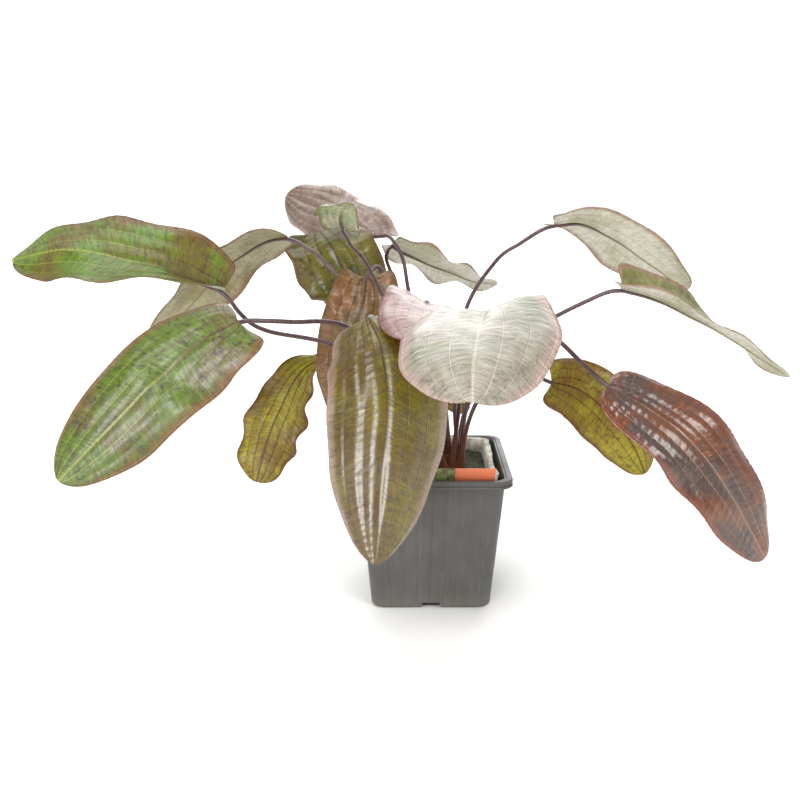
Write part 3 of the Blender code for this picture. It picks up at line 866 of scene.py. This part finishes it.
@dataclass
class BladeShape:
    """Turns a leaf plan into the fine surface of its blade."""

    leaf: Leaf
    origin: np.ndarray
    steps: int = 110
    across: int = 36
    thickness: float = 0.45
    lobe_peak: float = 0.16      # where along the blade the base lobes reach back furthest
    lobe_spread: float = 1.6     # higher keeps the lobes nearer the margin
    ruffle_spread: float = 2.5   # higher keeps the ruffles nearer the margin
    half_phase: float = 0.3      # how far the right margin's waves run ahead of the left's
    cross_pitch: float = 4.2     # millimetres between the cross ripples
    end_inset: float = 0.003     # share of the leaf left off at each end
    eased: float = 0.7           # how much the rows crowd towards the ends
    even: float = 0.3            # how much they keep even spacing
    flat_curl: float = 0.01      # a curl below this is as good as flat

    def surface(self) -> dict:
        """Return the blade's grid.

        Returns:
            The grid of points, and the share along and across, half the width and the
            distance along the leaf at each point.
        """
        leaf = self.leaf
        curve, length = catmull_rom(leaf.midrib, 90)
        tangents = unit(np.gradient(curve, axis=0))
        row = np.linspace(0, 1, self.steps + 1)
        spaced = self.eased * (0.5 - 0.5 * np.cos(math.pi * row)) + self.even * row
        u = self.end_inset + (1 - 2 * self.end_inset) * spaced
        v = np.linspace(-1, 1, self.across + 1)
        u, v = np.meshgrid(u, v, indexing="ij")
        size = np.abs(v)
        right_half = (v >= 0).astype(int)

        peak = leaf.shoulder / (leaf.shoulder + leaf.taper)
        most = peak**leaf.shoulder * (1 - peak) ** leaf.taper
        reach = u**leaf.shoulder * (1 - u) ** leaf.taper / most * leaf.width / 2
        scallop = np.sin(2 * math.pi * (leaf.waves * 1.3 * u + 0.37 * right_half))
        reach = reach * (1 + leaf.scallop * scallop * size)
        back = leaf.lobe * size**self.lobe_spread * (u / self.lobe_peak) * np.exp(1 - u / self.lobe_peak)
        back = back * np.where(right_half == 1, leaf.balance, 1.0)
        share = u - back / length
        held = np.clip(share, 0, 1)

        tangent = unit(self.sample(tangents, held))
        center = self.sample(curve, held) + tangent * (np.minimum(share, 0) * length)[..., None]
        upward = self.sample(np.array(leaf.faces, float), held)
        upward = unit(upward - tangent * (upward * tangent).sum(-1, keepdims=True))
        right = np.cross(tangent, upward)

        lift = np.radians(self.by_half(leaf.fold, held, right_half))
        curl = np.radians(self.by_half(leaf.droop, held, right_half))
        curl = np.where(np.abs(curl) < self.flat_curl, self.flat_curl, curl)
        out = (np.sin(lift) - np.sin(lift - curl * size)) / curl
        rise = (np.cos(lift - curl * size) - np.cos(lift)) / curl * reach
        rise += self.relief(u, v, reach, length, right_half)
        points = center + right * (np.sign(v) * out * reach)[..., None] + upward * rise[..., None]
        return {"points": points, "u": u, "v": v, "half": reach, "along": u * length}

    @staticmethod
    def sample(values: np.ndarray, share: np.ndarray) -> np.ndarray:
        """Return rows of values at shares from 0 to 1 along them."""
        knots = np.linspace(0, 1, len(values))
        return np.stack([np.interp(share, knots, values[:, k]) for k in range(values.shape[1])], -1)

    @staticmethod
    def by_half(four: tuple, share: np.ndarray, right_half: np.ndarray) -> np.ndarray:
        """Spread a setting given for each half at base and tip over the blade.

        Args:
            four: base left, base right, tip left and tip right.
            share: how far along the blade each point is.
            right_half: one on the right half and zero on the left.

        Returns:
            The setting at every point.
        """
        base = np.where(right_half == 1, four[1], four[0])
        tip = np.where(right_half == 1, four[3], four[2])
        return base * (1 - share) + tip * share

    def relief(
        self, u: np.ndarray, v: np.ndarray, reach: np.ndarray, length: float, right_half: np.ndarray
    ) -> np.ndarray:
        """Work out the ruffles, pleats, swellings and cross ripples.

        Args:
            u: share of the way from base to tip.
            v: share of the way from midrib to margin, below zero on the left.
            reach: half the blade's width, in millimetres.
            length: the blade's length, in millimetres.
            right_half: one on the right half and zero on the left.

        Returns:
            How far each point stands above the plain curved blade, in millimetres.
        """
        leaf = self.leaf
        seed = sum(ord(letter) for letter in leaf.name)
        size = np.abs(v)
        window = np.sqrt(np.sin(math.pi * u))
        phase = 2 * math.pi * (leaf.waves * u + self.half_phase * right_half)
        ruffle = leaf.ruffle * size**self.ruffle_spread * window * np.sin(phase)
        pleat = leaf.pleat * (np.abs(np.sin(math.pi * size / VEIN_SPACING)) ** 0.8 - 0.6)
        pleat = pleat * np.minimum(1, u * 8) * np.minimum(1, (1 - u) * 4) * np.minimum(1, (1 - size) * 6)
        x, y = v * reach, u * length
        swell = 0.5 * waves(x, y, 26, seed) * window
        ripple = (y - 0.5 * np.abs(x)) * 2 * math.pi / self.cross_pitch
        quilt = leaf.quilt * np.sin(ripple + 1.5 * waves(x, y, 15, seed + 1))
        return ruffle + pleat + swell + quilt * np.minimum(1, size * 5) * window

    def build(self) -> bpy.types.Object:
        """Build the closed blade.

        Returns:
            The blade, with its upper side in slot 0 and its underside in slot 1.
        """
        grid = self.surface()
        points = grid["points"] + self.origin
        rows, columns = points.shape[:2]
        normal = unit(np.cross(np.gradient(points, axis=1), np.gradient(points, axis=0)))
        thin = self.thickness / 2 * np.clip((1 - np.abs(grid["v"])) * 8, 0.35, 1.0)[..., None]
        top = (points + normal * thin).reshape(-1, 3)
        bottom = (points - normal * thin).reshape(-1, 3)
        faces, per_side = sheet_faces(rows, columns)
        finishes = [MATERIALS[f"{self.leaf.finish.name}_{side.value}"] for side in Side]
        piece = make_piece(f"leaf_{self.leaf.name}", np.vstack([top, bottom]), faces, finishes)
        sides = np.zeros(len(faces), dtype=np.int32)
        sides[per_side : 2 * per_side] = 1
        piece.data.polygons.foreach_set("material_index", sides)
        self.mark(piece, grid)
        return piece

    def mark(self, piece: bpy.types.Object, grid: dict) -> None:
        """Write the leaf's own coordinates on the mesh for its finish to follow.

        Args:
            piece: the blade.
            grid: what surface() returned for it.
        """
        mesh = piece.data
        for name, values in ((HALF_WIDTH, grid["half"]), (ALONG, grid["along"])):
            layer = mesh.attributes.new(name, "FLOAT", "POINT")
            layer.data.foreach_set("value", np.tile(values.reshape(-1), 2).astype(np.float32))
        flat = np.stack([grid["v"] * 0.5 + 0.5, grid["u"]], -1).reshape(-1, 2)
        flat = np.vstack([flat, flat])
        loops = np.zeros(len(mesh.loops), dtype=np.int32)
        mesh.loops.foreach_get("vertex_index", loops)
        layer = mesh.uv_layers.new(name=LEAF_UV)
        layer.uv.foreach_set("vector", flat[loops].astype(np.float32).reshape(-1))


@dataclass
class StalkShape:
    """A leaf's stalk, which runs on under the blade as its midrib."""

    leaf: Leaf
    origin: np.ndarray
    root: np.ndarray
    base_radius: float = 2.8
    radius: float = 1.2
    tip_radius: float = 0.22
    sheath: float = 30.0
    sides: int = 14
    steps: int = 84
    crown_share: float = 0.62    # keeps the stalks' roots inside the crown
    rib_taper: float = 0.4       # lower makes the midrib thin out sooner
    sheath_flare: float = 0.7    # how much wider than thick the stalk is at its root
    soft_reach: int = 5          # places each way of the blade's base that are smoothed
    soft_window: int = 3         # places each way that are averaged

    def build(self) -> bpy.types.Object:
        """Build the closed stalk with its midrib, sunk just below the blade.

        Returns:
            The stalk.
        """
        leaf = self.leaf
        angle = math.radians(leaf.root_angle)
        ring = leaf.root_ring * self.crown_share
        start = self.root + ring * np.array([math.cos(angle), math.sin(angle), 0.0])
        route, length = catmull_rom([start, *leaf.stalk, leaf.midrib[0]], self.steps)
        shape = BladeShape(leaf, self.origin)
        grid = shape.surface()
        middle = grid["points"][:, shape.across // 2]
        normals = unit(np.cross(np.gradient(grid["points"], axis=1), np.gradient(grid["points"], axis=0)))
        thinned = np.linspace(0, 1, len(middle)) ** self.rib_taper
        depth = (self.radius + (self.tip_radius - self.radius) * thinned)[:, None]
        rib = (middle - normals[:, shape.across // 2] * depth)[4:-2:2]
        path = np.vstack([route, rib])
        soft = path.copy()
        for index in range(len(route) - self.soft_reach, len(route) + self.soft_reach):
            soft[index] = path[index - self.soft_window : index + self.soft_window + 1].mean(0)
        path = soft
        travelled = np.concatenate([[0], np.cumsum(np.linalg.norm(np.diff(path, axis=0), axis=1))])
        radius = self.radii(travelled, length)
        tangents = unit(np.gradient(path, axis=0))
        side = np.array([math.sin(angle), -math.cos(angle), 0.0])
        rings = []
        for place, tangent, thick, gone in zip(path, tangents, radius, travelled):
            side = side - tangent * side.dot(tangent)
            side = side / np.linalg.norm(side)
            up = np.cross(tangent, side)
            flat = 1 + self.sheath_flare * max(0.0, 1 - gone / self.sheath)
            turns = np.arange(self.sides) * 2 * math.pi / self.sides
            wide = np.outer(np.cos(turns) * thick * flat, side)
            rings.append(place + wide + np.outer(np.sin(turns) * thick, up))
        points = np.vstack(rings) + self.origin
        faces = loft_faces(len(rings), self.sides)
        piece = make_piece(f"stem_{leaf.name}", points, faces, [MATERIALS["stalk"]])
        face_outwards(piece)
        fade = np.clip((self.on_blade(travelled, length) - 0.1) / 0.5, 0, 1)
        layer = piece.data.attributes.new(RIB_FADE, "FLOAT", "POINT")
        layer.data.foreach_set("value", np.repeat(fade, self.sides).astype(np.float32))
        return piece

    @staticmethod
    def on_blade(travelled: np.ndarray, length: float) -> np.ndarray:
        """Return how far along the blade each place is, from 0 at its base to 1 at its tip."""
        return np.clip((travelled - length) / max(travelled[-1] - length, 1.0), 0, 1)

    def radii(self, travelled: np.ndarray, length: float) -> np.ndarray:
        """Work out how thick the stalk is.

        Args:
            travelled: distances from the stalk's root, in millimetres.
            length: where the blade starts.

        Returns:
            The radius at each distance, in millimetres.
        """
        swell = (self.base_radius - self.radius) * np.clip(1 - travelled / self.sheath, 0, 1) ** 1.5
        thin = self.on_blade(travelled, length) ** self.rib_taper
        scale = min(1.0, 0.55 + self.leaf.width / 90)
        return (self.radius * scale + swell) * (1 - thin) + self.tip_radius * thin


@dataclass
class Foliage:
    """All the leaves of the plant, from one plan each."""

    origin: np.ndarray
    root: np.ndarray

    def build(self) -> None:
        """Build every stalk and blade and settle each in its node's place."""
        for leaf in LEAVES:
            blade = BladeShape(leaf, self.origin).build()
            settle(blade, "blade", f"blade_{leaf.name}")
            stalk = StalkShape(leaf, self.origin, self.root).build()
            settle(stalk, "stalk", f"stalk_{leaf.name}")


# ---------------------------------------------------------------- pot and what it holds


def rounded_square(half: float, corner: float, z: float, per_side: int, per_corner: int) -> np.ndarray:
    """Return one even turn of points round a square with rounded corners.

    Args:
        half: half the square's width, in millimetres.
        corner: the corners' radius.
        z: the height of the turn.
        per_side: steps along each straight side.
        per_corner: steps round each corner.

    Returns:
        One row for each point.
    """
    inner = half - corner
    points = []
    for quarter in range(4):
        turn = quarter * math.pi / 2
        rotation = np.array([[math.cos(turn), -math.sin(turn)], [math.sin(turn), math.cos(turn)]])
        for step in range(per_side):
            points.append(rotation @ (half, -inner + 2 * inner * step / per_side))
        for step in range(per_corner):
            angle = step * math.pi / 2 / per_corner
            points.append(rotation @ (inner + corner * math.cos(angle), inner + corner * math.sin(angle)))
    flat = np.array(points)
    return np.column_stack([flat, np.full(len(flat), z)])


@dataclass
class BoxedShape:
    """A shape in the place of a CAD node, whose box is given by two corners in metres."""

    low: Vector
    high: Vector

    @property
    def bottom(self) -> float:
        """Height of the box's underside in millimetres."""
        return self.low.z / MM

    @property
    def top(self) -> float:
        """Height of the box's top in millimetres."""
        return self.high.z / MM

    @property
    def half_width(self) -> float:
        """Half the box's width in millimetres."""
        return (self.high.x - self.low.x) / MM / 2


@dataclass
class NurseryPot(BoxedShape):
    """The thin square pot, with ribbed walls, a stepped rim and drain slots."""

    wall: float = 1.2
    corner: float = 8.0
    rim_height: float = 4.5
    body_top: float = 41.5
    body_bottom: float = 34.5
    foot_round: float = 2.0
    drain_width: float = 12.0
    drain_height: float = 3.6
    drain_reach: float = 4.0
    rib_pitch: float = 7.5
    rib_width: float = 0.8
    rib_height: float = 0.6
    per_side: int = 96
    per_corner: int = 10
    sharp_degrees: float = 35.0

    @property
    def height(self) -> float:
        """Height of the pot in millimetres."""
        return (self.high.z - self.low.z) / MM

    def body_half(self, z: float) -> float:
        """Return half the outer width of the tapered body at height z."""
        return self.body_bottom + (self.body_top - self.body_bottom) * z / self.height

    def ring(self, half: float, corner: float, z: float, ribs: float = 0.0) -> np.ndarray:
        """Make one turn of the wall, with shallow upright ribs pressed in its flats.

        Args:
            half: half the turn's width.
            corner: the corners' radius.
            z: the turn's height.
            ribs: how deep the ribs are.

        Returns:
            One row for each point, in millimetres.
        """
        points = rounded_square(half, corner, z, self.per_side, self.per_corner)
        if ribs:
            for axis, other in ((0, 1), (1, 0)):
                flat = np.abs(np.abs(points[:, axis]) - half) < 0.01
                phase = points[:, other] / self.rib_pitch
                groove = np.exp(-(((phase - np.round(phase)) * self.rib_pitch / self.rib_width) ** 2))
                points[:, axis] -= np.sign(points[:, axis]) * flat * groove * ribs
        return points

    def build(self) -> None:
        """Build the pot and settle it in its node's place."""
        top = self.height
        under = top - self.rim_height
        foot, rim = self.foot_round, self.half_width
        outer = [self.ring(self.body_bottom - foot, self.corner - foot, 0.0)]
        for step in range(1, 5):
            turn = step * math.pi / 8
            out = self.body_bottom - foot + (foot + 0.26) * math.sin(turn)
            corner = self.corner - foot + foot * math.sin(turn)
            outer.append(self.ring(out, corner, foot * (1 - math.cos(turn))))
        for z in (4.0, 5.5, 30.0, 55.0, under - 2.2, under - 1.0):
            ribs = self.rib_height if 5 < z < under - 2 else 0.0
            outer.append(self.ring(self.body_half(z), self.corner, z, ribs))
        stepped_rim = (
            (self.body_half(under) + 0.1, under - 0.05), (rim - 0.5, under), (rim, under + 0.5),
            (rim, under + 1.5), (rim - 0.45, under + 1.8), (rim - 0.45, under + 2.3),
            (rim - 0.1, under + 2.6), (rim - 0.1, top - 0.5), (rim - 0.6, top),
        )
        outer += [self.ring(half, self.corner, z) for half, z in stepped_rim]
        lip = self.body_half(top) - self.wall
        lip_steps = ((1.6, 0.6, 0.0), (1.2, 1.0, 0.6), (0.4, 1.1, 0.6), (0.0, self.wall, 1.2))
        inner = [
            self.ring(lip + out, self.corner - tighter, top - down)
            for out, tighter, down in lip_steps
        ]
        for z in (60.0, 30.0, foot + self.wall):
            inner.append(self.ring(self.body_half(z) - self.wall, self.corner - self.wall, z))
        floor_half, floor_corner = self.body_bottom - foot - self.wall, self.corner - foot - self.wall
        inner.append(self.ring(floor_half, floor_corner, self.wall))
        rings = outer + inner
        count = len(rings[0])
        piece = make_piece("nursery_pot", np.vstack(rings), loft_faces(len(rings), count),
                           [MATERIALS["pot"], MATERIALS["pot_inside"]])
        first_inner = (len(outer) + len(lip_steps) - 1) * count
        for face in piece.data.polygons:
            face.material_index = 1 if min(face.vertices) >= first_inner else 0
        face_outwards(piece)
        piece.data.set_sharp_from_angle(angle=math.radians(self.sharp_degrees))
        for index in range(4):
            self.cut_drain(piece, index)
        settle(piece, "pot", "pot")

    def cut_drain(self, piece: bpy.types.Object, index: int) -> None:
        """Cut one drain slot through the foot at the middle of a side.

        Args:
            piece: the pot.
            index: which side, in quarter turns.
        """
        turn = Matrix.Rotation(index * math.pi / 2, 3, "Z")
        inner, outer = self.body_bottom - self.drain_reach, self.half_width
        corners = []
        for z, half in ((-1.0, self.drain_width / 2), (self.drain_height, self.drain_width / 2 - 1.0)):
            for x, y in ((inner, -half), (outer, -half), (outer, half), (inner, half)):
                corners.append(turn @ Vector((x, y, z)))
        inside = [MATERIALS["pot_inside"]]
        cutter = make_piece(f"drain_{index}", np.array(corners), loft_faces(2, 4), inside, False)
        face_outwards(cutter)
        cut = piece.modifiers.new("drain", "BOOLEAN")
        cut.operation = "DIFFERENCE"
        cut.solver = "EXACT"
        cut.object = cutter
        apply_modifier(piece, cut)
        bpy.data.objects.remove(cutter, do_unlink=True)


@dataclass
class WoolLiner(BoxedShape):
    """The crumpled mineral wool round the root plug."""

    wall: float = 4.0
    corner: float = 6.8
    tighter: float = 3.0         # how much tighter the inner corners are
    taper: float = 6.0
    levels: int = 22
    per_side: int = 34
    per_corner: int = 8
    girth: float = 38.0          # the radius at which angles are taken as lengths
    loose_edge: float = 12.0     # how far down the top edge crumples most

    def build(self) -> None:
        """Build the liner and settle it in its node's place."""
        top, bottom, half = self.top, self.bottom, self.half_width
        slope = self.taper / (top - bottom)
        rings = []
        for step in range(self.levels):
            z = bottom + (top - bottom) * step / (self.levels - 1)
            rings.append((half - slope * (top - z), self.corner, z, 1))
        for step in range(self.levels):
            z = top - (top - bottom) * step / (self.levels - 1)
            rings.append((half - slope * (top - z) - self.wall, self.corner - self.tighter, z, -1))
        turns = [self.crumpled(*ring) for ring in rings]
        count = len(turns[0])
        faces = loft_faces(len(turns), count, capped=False)
        last = (len(turns) - 1) * count
        faces += [(last + s, last + (s + 1) % count, (s + 1) % count, s) for s in range(count)]
        piece = make_piece("wool_wrap", np.vstack(turns), faces, [MATERIALS["wool"]])
        face_outwards(piece)
        settle(piece, "mineral_wool", "wool_liner")

    def crumpled(self, out: float, corner: float, z: float, side: int) -> np.ndarray:
        """Make one turn of the wool, pushed about as loose felt is.

        Args:
            out: half the turn's width.
            corner: the corners' radius.
            z: the turn's height.
            side: 1 on the outside and -1 on the inside.

        Returns:
            One row for each point, in millimetres.
        """
        points = rounded_square(out, corner, z, self.per_side, self.per_corner)
        angle = np.arctan2(points[:, 1], points[:, 0])
        round_length = angle * self.girth
        crumple = waves(round_length, np.full(len(angle), z), 11, 5) * 0.55
        crumple += waves(round_length, np.full(len(angle), z), 4, 9) * 0.3
        near_top = max(0.0, 1 - abs(self.top - z) / self.loose_edge)
        push = crumple * (0.35 + 0.65 * near_top) * (1 if side > 0 else 0.8) - 0.5 * side
        direction = unit(points[:, :2])
        points[:, :2] += direction * push[:, None]
        rise = waves(round_length, np.zeros(len(angle)), 17, 3)
        behind = np.clip(np.sin(angle) + 0.2, 0, 1) + 0.6 * np.clip(np.cos(angle), 0, 1)
        points[:, 2] += near_top**2 * (0.8 * rise + 2.2 * behind)
        return points


@dataclass
class RootPlug(BoxedShape):
    """The dark mossy plug, lumpy on top."""

    corner: float = 2.5
    rings_in: int = 26
    taper: float = 5.0
    per_side: int = 30
    per_corner: int = 3
    sink: float = 1.0            # keeps the lumps about level with the wool

    def build(self) -> None:
        """Build the plug and settle it in its node's place."""
        top, bottom, half = self.top, self.bottom, self.half_width
        low_half = half - self.taper
        grain = (self.per_side, self.per_corner)
        turns = [
            rounded_square(low_half, self.corner, bottom, *grain),
            rounded_square((low_half + half) / 2, self.corner, (top + bottom) / 2, *grain),
        ]
        for step in range(self.rings_in):
            share = 1 - step / self.rings_in
            turns.append(rounded_square(half * share, self.corner * share, top, *grain))
        for points in turns[2:]:
            x, y = points[:, 0], points[:, 1]
            lump = 0.8 * waves(x, y, 15, 21) + 0.5 * waves(x, y, 6, 22) + 0.35 * waves(x, y, 2.6, 23)
            points[:, 2] += lump - self.sink
        faces = loft_faces(len(turns), len(turns[0]))
        piece = make_piece("moss_plug", np.vstack(turns), faces, [MATERIALS["moss"]])
        face_outwards(piece)
        settle(piece, "root_plug", "root_plug")


@dataclass
class LabelCard(BoxedShape):
    """The thin card tucked inside the front wall, a little bowed."""

    foot_right: float = 29.0
    thickness: float = 0.6
    bow: float = 0.5
    columns: int = 24
    rows: int = 20
    sharp_degrees: float = 40.0

    def build(self) -> None:
        """Build the card and settle it in its node's place."""
        left, right, bottom, top = self.low.x / MM, self.high.x / MM, self.bottom, self.top
        front_top, front_bottom = self.low.y / MM, self.high.y / MM - 0.8
        sheets = []
        for back in (0.0, self.thickness):
            sheet = []
            for row in range(self.rows + 1):
                share = row / self.rows
                for column in range(self.columns + 1):
                    across = column / self.columns
                    edge = self.foot_right + (right - self.foot_right) * share
                    x = left + (edge - left) * across
                    y = front_bottom + (front_top - front_bottom) * share + back
                    y += self.bow * math.sin(math.pi * across) * share
                    sheet.append((x, y, bottom + (top - bottom) * share))
            sheets.append(np.array(sheet))
        faces, _ = sheet_faces(self.rows + 1, self.columns + 1)
        piece = make_piece("plant_card", np.vstack(sheets), faces, [MATERIALS["card"]])
        face_outwards(piece)
        piece.data.set_sharp_from_angle(angle=math.radians(self.sharp_degrees))
        settle(piece, "label_card", "label_card")


@dataclass
class Crown(BoxedShape):
    """The short crown, wrapped in the sheaths of old leaves."""

    sheaths: int = 9
    rows: int = 14
    columns: int = 8
    sink: float = 2.0            # how far its foot is in the plug
    step: float = 2.4            # radians from one sheath to the next
    wrap: float = 1.15           # how far round a sheath reaches, in radians
    flare: float = 1.8           # how far its tip stands out
    thickness: float = 0.5

    def build(self) -> None:
        """Build the crown with its sheaths and settle it in its node's place."""
        middle = (self.low + self.high) / 2 / MM
        base = self.bottom - self.sink
        rng = np.random.default_rng(4)
        points, faces = [], []
        for number in range(self.sheaths):
            angle = number * self.step + rng.uniform(-0.2, 0.2)
            tall = rng.uniform(9, 22)
            self.add_sheath(points, faces, middle, base, angle, tall, 3.0 + 0.5 * number)
        piece = make_piece("crown_sheaths", np.array(points), faces, [MATERIALS["sheath"]])
        thick = piece.modifiers.new("thickness", "SOLIDIFY")
        thick.thickness = self.thickness * MM
        apply_modifier(piece, thick)
        settle(piece, "crown", "crown")

    def add_sheath(
        self, points: list, faces: list, middle: Vector, base: float, angle: float, tall: float, out: float
    ) -> None:
        """Add one pointed sheath that hugs the crown.

        Args:
            points: the list of points to add to.
            faces: the list of faces to add to.
            middle: the crown's middle, in millimetres.
            base: height of the sheath's foot.
            angle: where it stands round the crown.
            tall: its height.
            out: its distance from the crown's middle.
        """
        start = len(points)
        for row in range(self.rows + 1):
            share = row / self.rows
            spread = self.wrap * math.sqrt(1 - share**2) + 0.04
            radius = out + self.flare * share**2
            for column in range(self.columns + 1):
                turn = angle + spread * (column / self.columns - 0.5)
                x, y = middle.x + radius * math.cos(turn), middle.y + radius * math.sin(turn)
                points.append((x, y, base + tall * share))
        for row in range(self.rows):
            for column in range(self.columns):
                a = start + row * (self.columns + 1) + column
                faces.append((a, a + 1, a + self.columns + 2, a + self.columns + 1))


# ---------------------------------------------------------------- studio


@dataclass
class Studio:
    """Pale floor, soft lights, and the camera."""

    eye: tuple = (-18.0, -562.0, 266.0)
    tilt: float = 14.95
    lens: float = 44.82
    sensor: float = 36.0
    floor_half: float = 3000.0
    floor_drop: float = 0.05
    aim: tuple = (0, 0, 0.15)
    softboxes: tuple = (
        ("back_softbox", (0.1, 1.7, 1.0), 1.6, 20.0),
        ("top_softbox", (-0.2, 0.1, 1.7), 1.2, 15.0),
        ("front_softbox", (-0.9, -1.2, 1.15), 0.6, 9.0),
        ("low_softbox", (-0.6, -1.5, 0.35), 0.6, 14.0),
        ("right_softbox", (0.75, -0.85, 0.95), 0.5, 8.0),
    )

    def build(self) -> None:
        """Build the floor, the lights and the camera."""
        scene = bpy.context.scene
        camera = bpy.data.objects.new("camera", bpy.data.cameras.new("camera"))
        camera.data.lens = self.lens
        camera.data.sensor_width = self.sensor
        camera.data.clip_end = 100.0
        camera.location = Vector(self.eye) * MM
        camera.rotation_euler = (math.radians(90 - self.tilt), 0, 0)
        scene.collection.objects.link(camera)
        scene.camera = camera
        turns = ((-1, -1), (1, -1), (1, 1), (-1, 1))
        corners = [(x * self.floor_half, y * self.floor_half, -self.floor_drop) for x, y in turns]
        floor = make_piece("studio_floor", corners, [(0, 1, 2, 3)], [FloorFinish().make()], False)
        for softbox in self.softboxes:
            self.light(*softbox)
        self.sky(scene)
        scene.view_settings.view_transform = "Standard"

    @staticmethod
    def sky(scene: bpy.types.Scene) -> None:
        """Wrap the set in a white cyclorama that is darker high up behind the camera.

        Args:
            scene: the scene to light.
        """
        world = bpy.data.worlds.new("studio")
        scene.world = world
        world.use_nodes = True
        tree = world.node_tree
        tree.nodes.clear()
        parts = add(tree, "SeparateXYZ", {0: add(tree, "TexCoord").outputs["Generated"]})
        ahead = ramp(tree, parts.outputs[1], -0.6, 0.75, 0.28, 1.05)
        band = ramp(tree, parts.outputs[2], 0.12, 0.30, 1.0, 0.0)
        ahead = math_node(tree, "MAXIMUM", ahead, band)
        glow = add(tree, "Background", {"Color": (1.0, 1.0, 1.0, 1.0), "Strength": ahead})
        add(tree, "OutputWorld", {"Surface": glow.outputs[0]})

    def light(self, name: str, place: tuple, size: float, power: float) -> None:
        """Hang one square softbox that faces the plant.

        Args:
            name: the lamp's name.
            place: where it hangs, in metres.
            size: its side, in metres.
            power: its power, in watts.
        """
        data = bpy.data.lights.new(name, "AREA")
        data.size = size
        data.energy = power
        lamp = bpy.data.objects.new(name, data)
        lamp.location = place
        lamp.rotation_euler = (Vector(self.aim) - Vector(place)).to_track_quat("-Z", "Y").to_euler()
        bpy.context.scene.collection.objects.link(lamp)


MATERIALS: dict[str, bpy.types.Material] = {}


def make_materials() -> None:
    """Make every finish once."""
    for finish in {leaf.finish.name: leaf.finish for leaf in LEAVES}.values():
        MATERIALS[f"{finish.name}_{Side.UPPER.value}"] = finish.upper()
        MATERIALS[f"{finish.name}_{Side.UNDER.value}"] = finish.lower()
    MATERIALS["stalk"] = StalkFinish().make()
    MATERIALS["pot"] = PotFinish().make()
    MATERIALS["pot_inside"] = PotFinish().make(inner=True)
    MATERIALS["wool"] = FibreFinish().make()
    MATERIALS["sheath"] = FibreFinish("dry_sheath", "#8A7440", "#6A4A28", "#4A2A20", 0.6).make()
    MATERIALS["moss"] = MossFinish().make()
    MATERIALS["card"] = CardFinish().make()


def main() -> None:
    """Build the studio and every piece of the plant, in order."""
    logging.basicConfig(level=logging.INFO, format="%(name)s: %(message)s")
    Studio().build()
    make_materials()
    pot_low, pot_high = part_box("pot")
    crown_low, crown_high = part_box("crown")
    middle = (pot_low + pot_high) / 2 / MM
    origin = np.array([middle.x, middle.y, pot_low.z / MM])
    crown = (crown_low + crown_high) / 2 / MM
    root = np.array([crown.x, crown.y, crown_low.z / MM - Crown.sink]) - origin
    NurseryPot(pot_low, pot_high).build()
    WoolLiner(*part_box("wool_liner")).build()
    RootPlug(*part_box("root_plug")).build()
    LabelCard(*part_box("label_card")).build()
    Crown(crown_low, crown_high).build()
    Foliage(origin, root).build()
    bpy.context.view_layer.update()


if __name__ == "__main__":
    main()
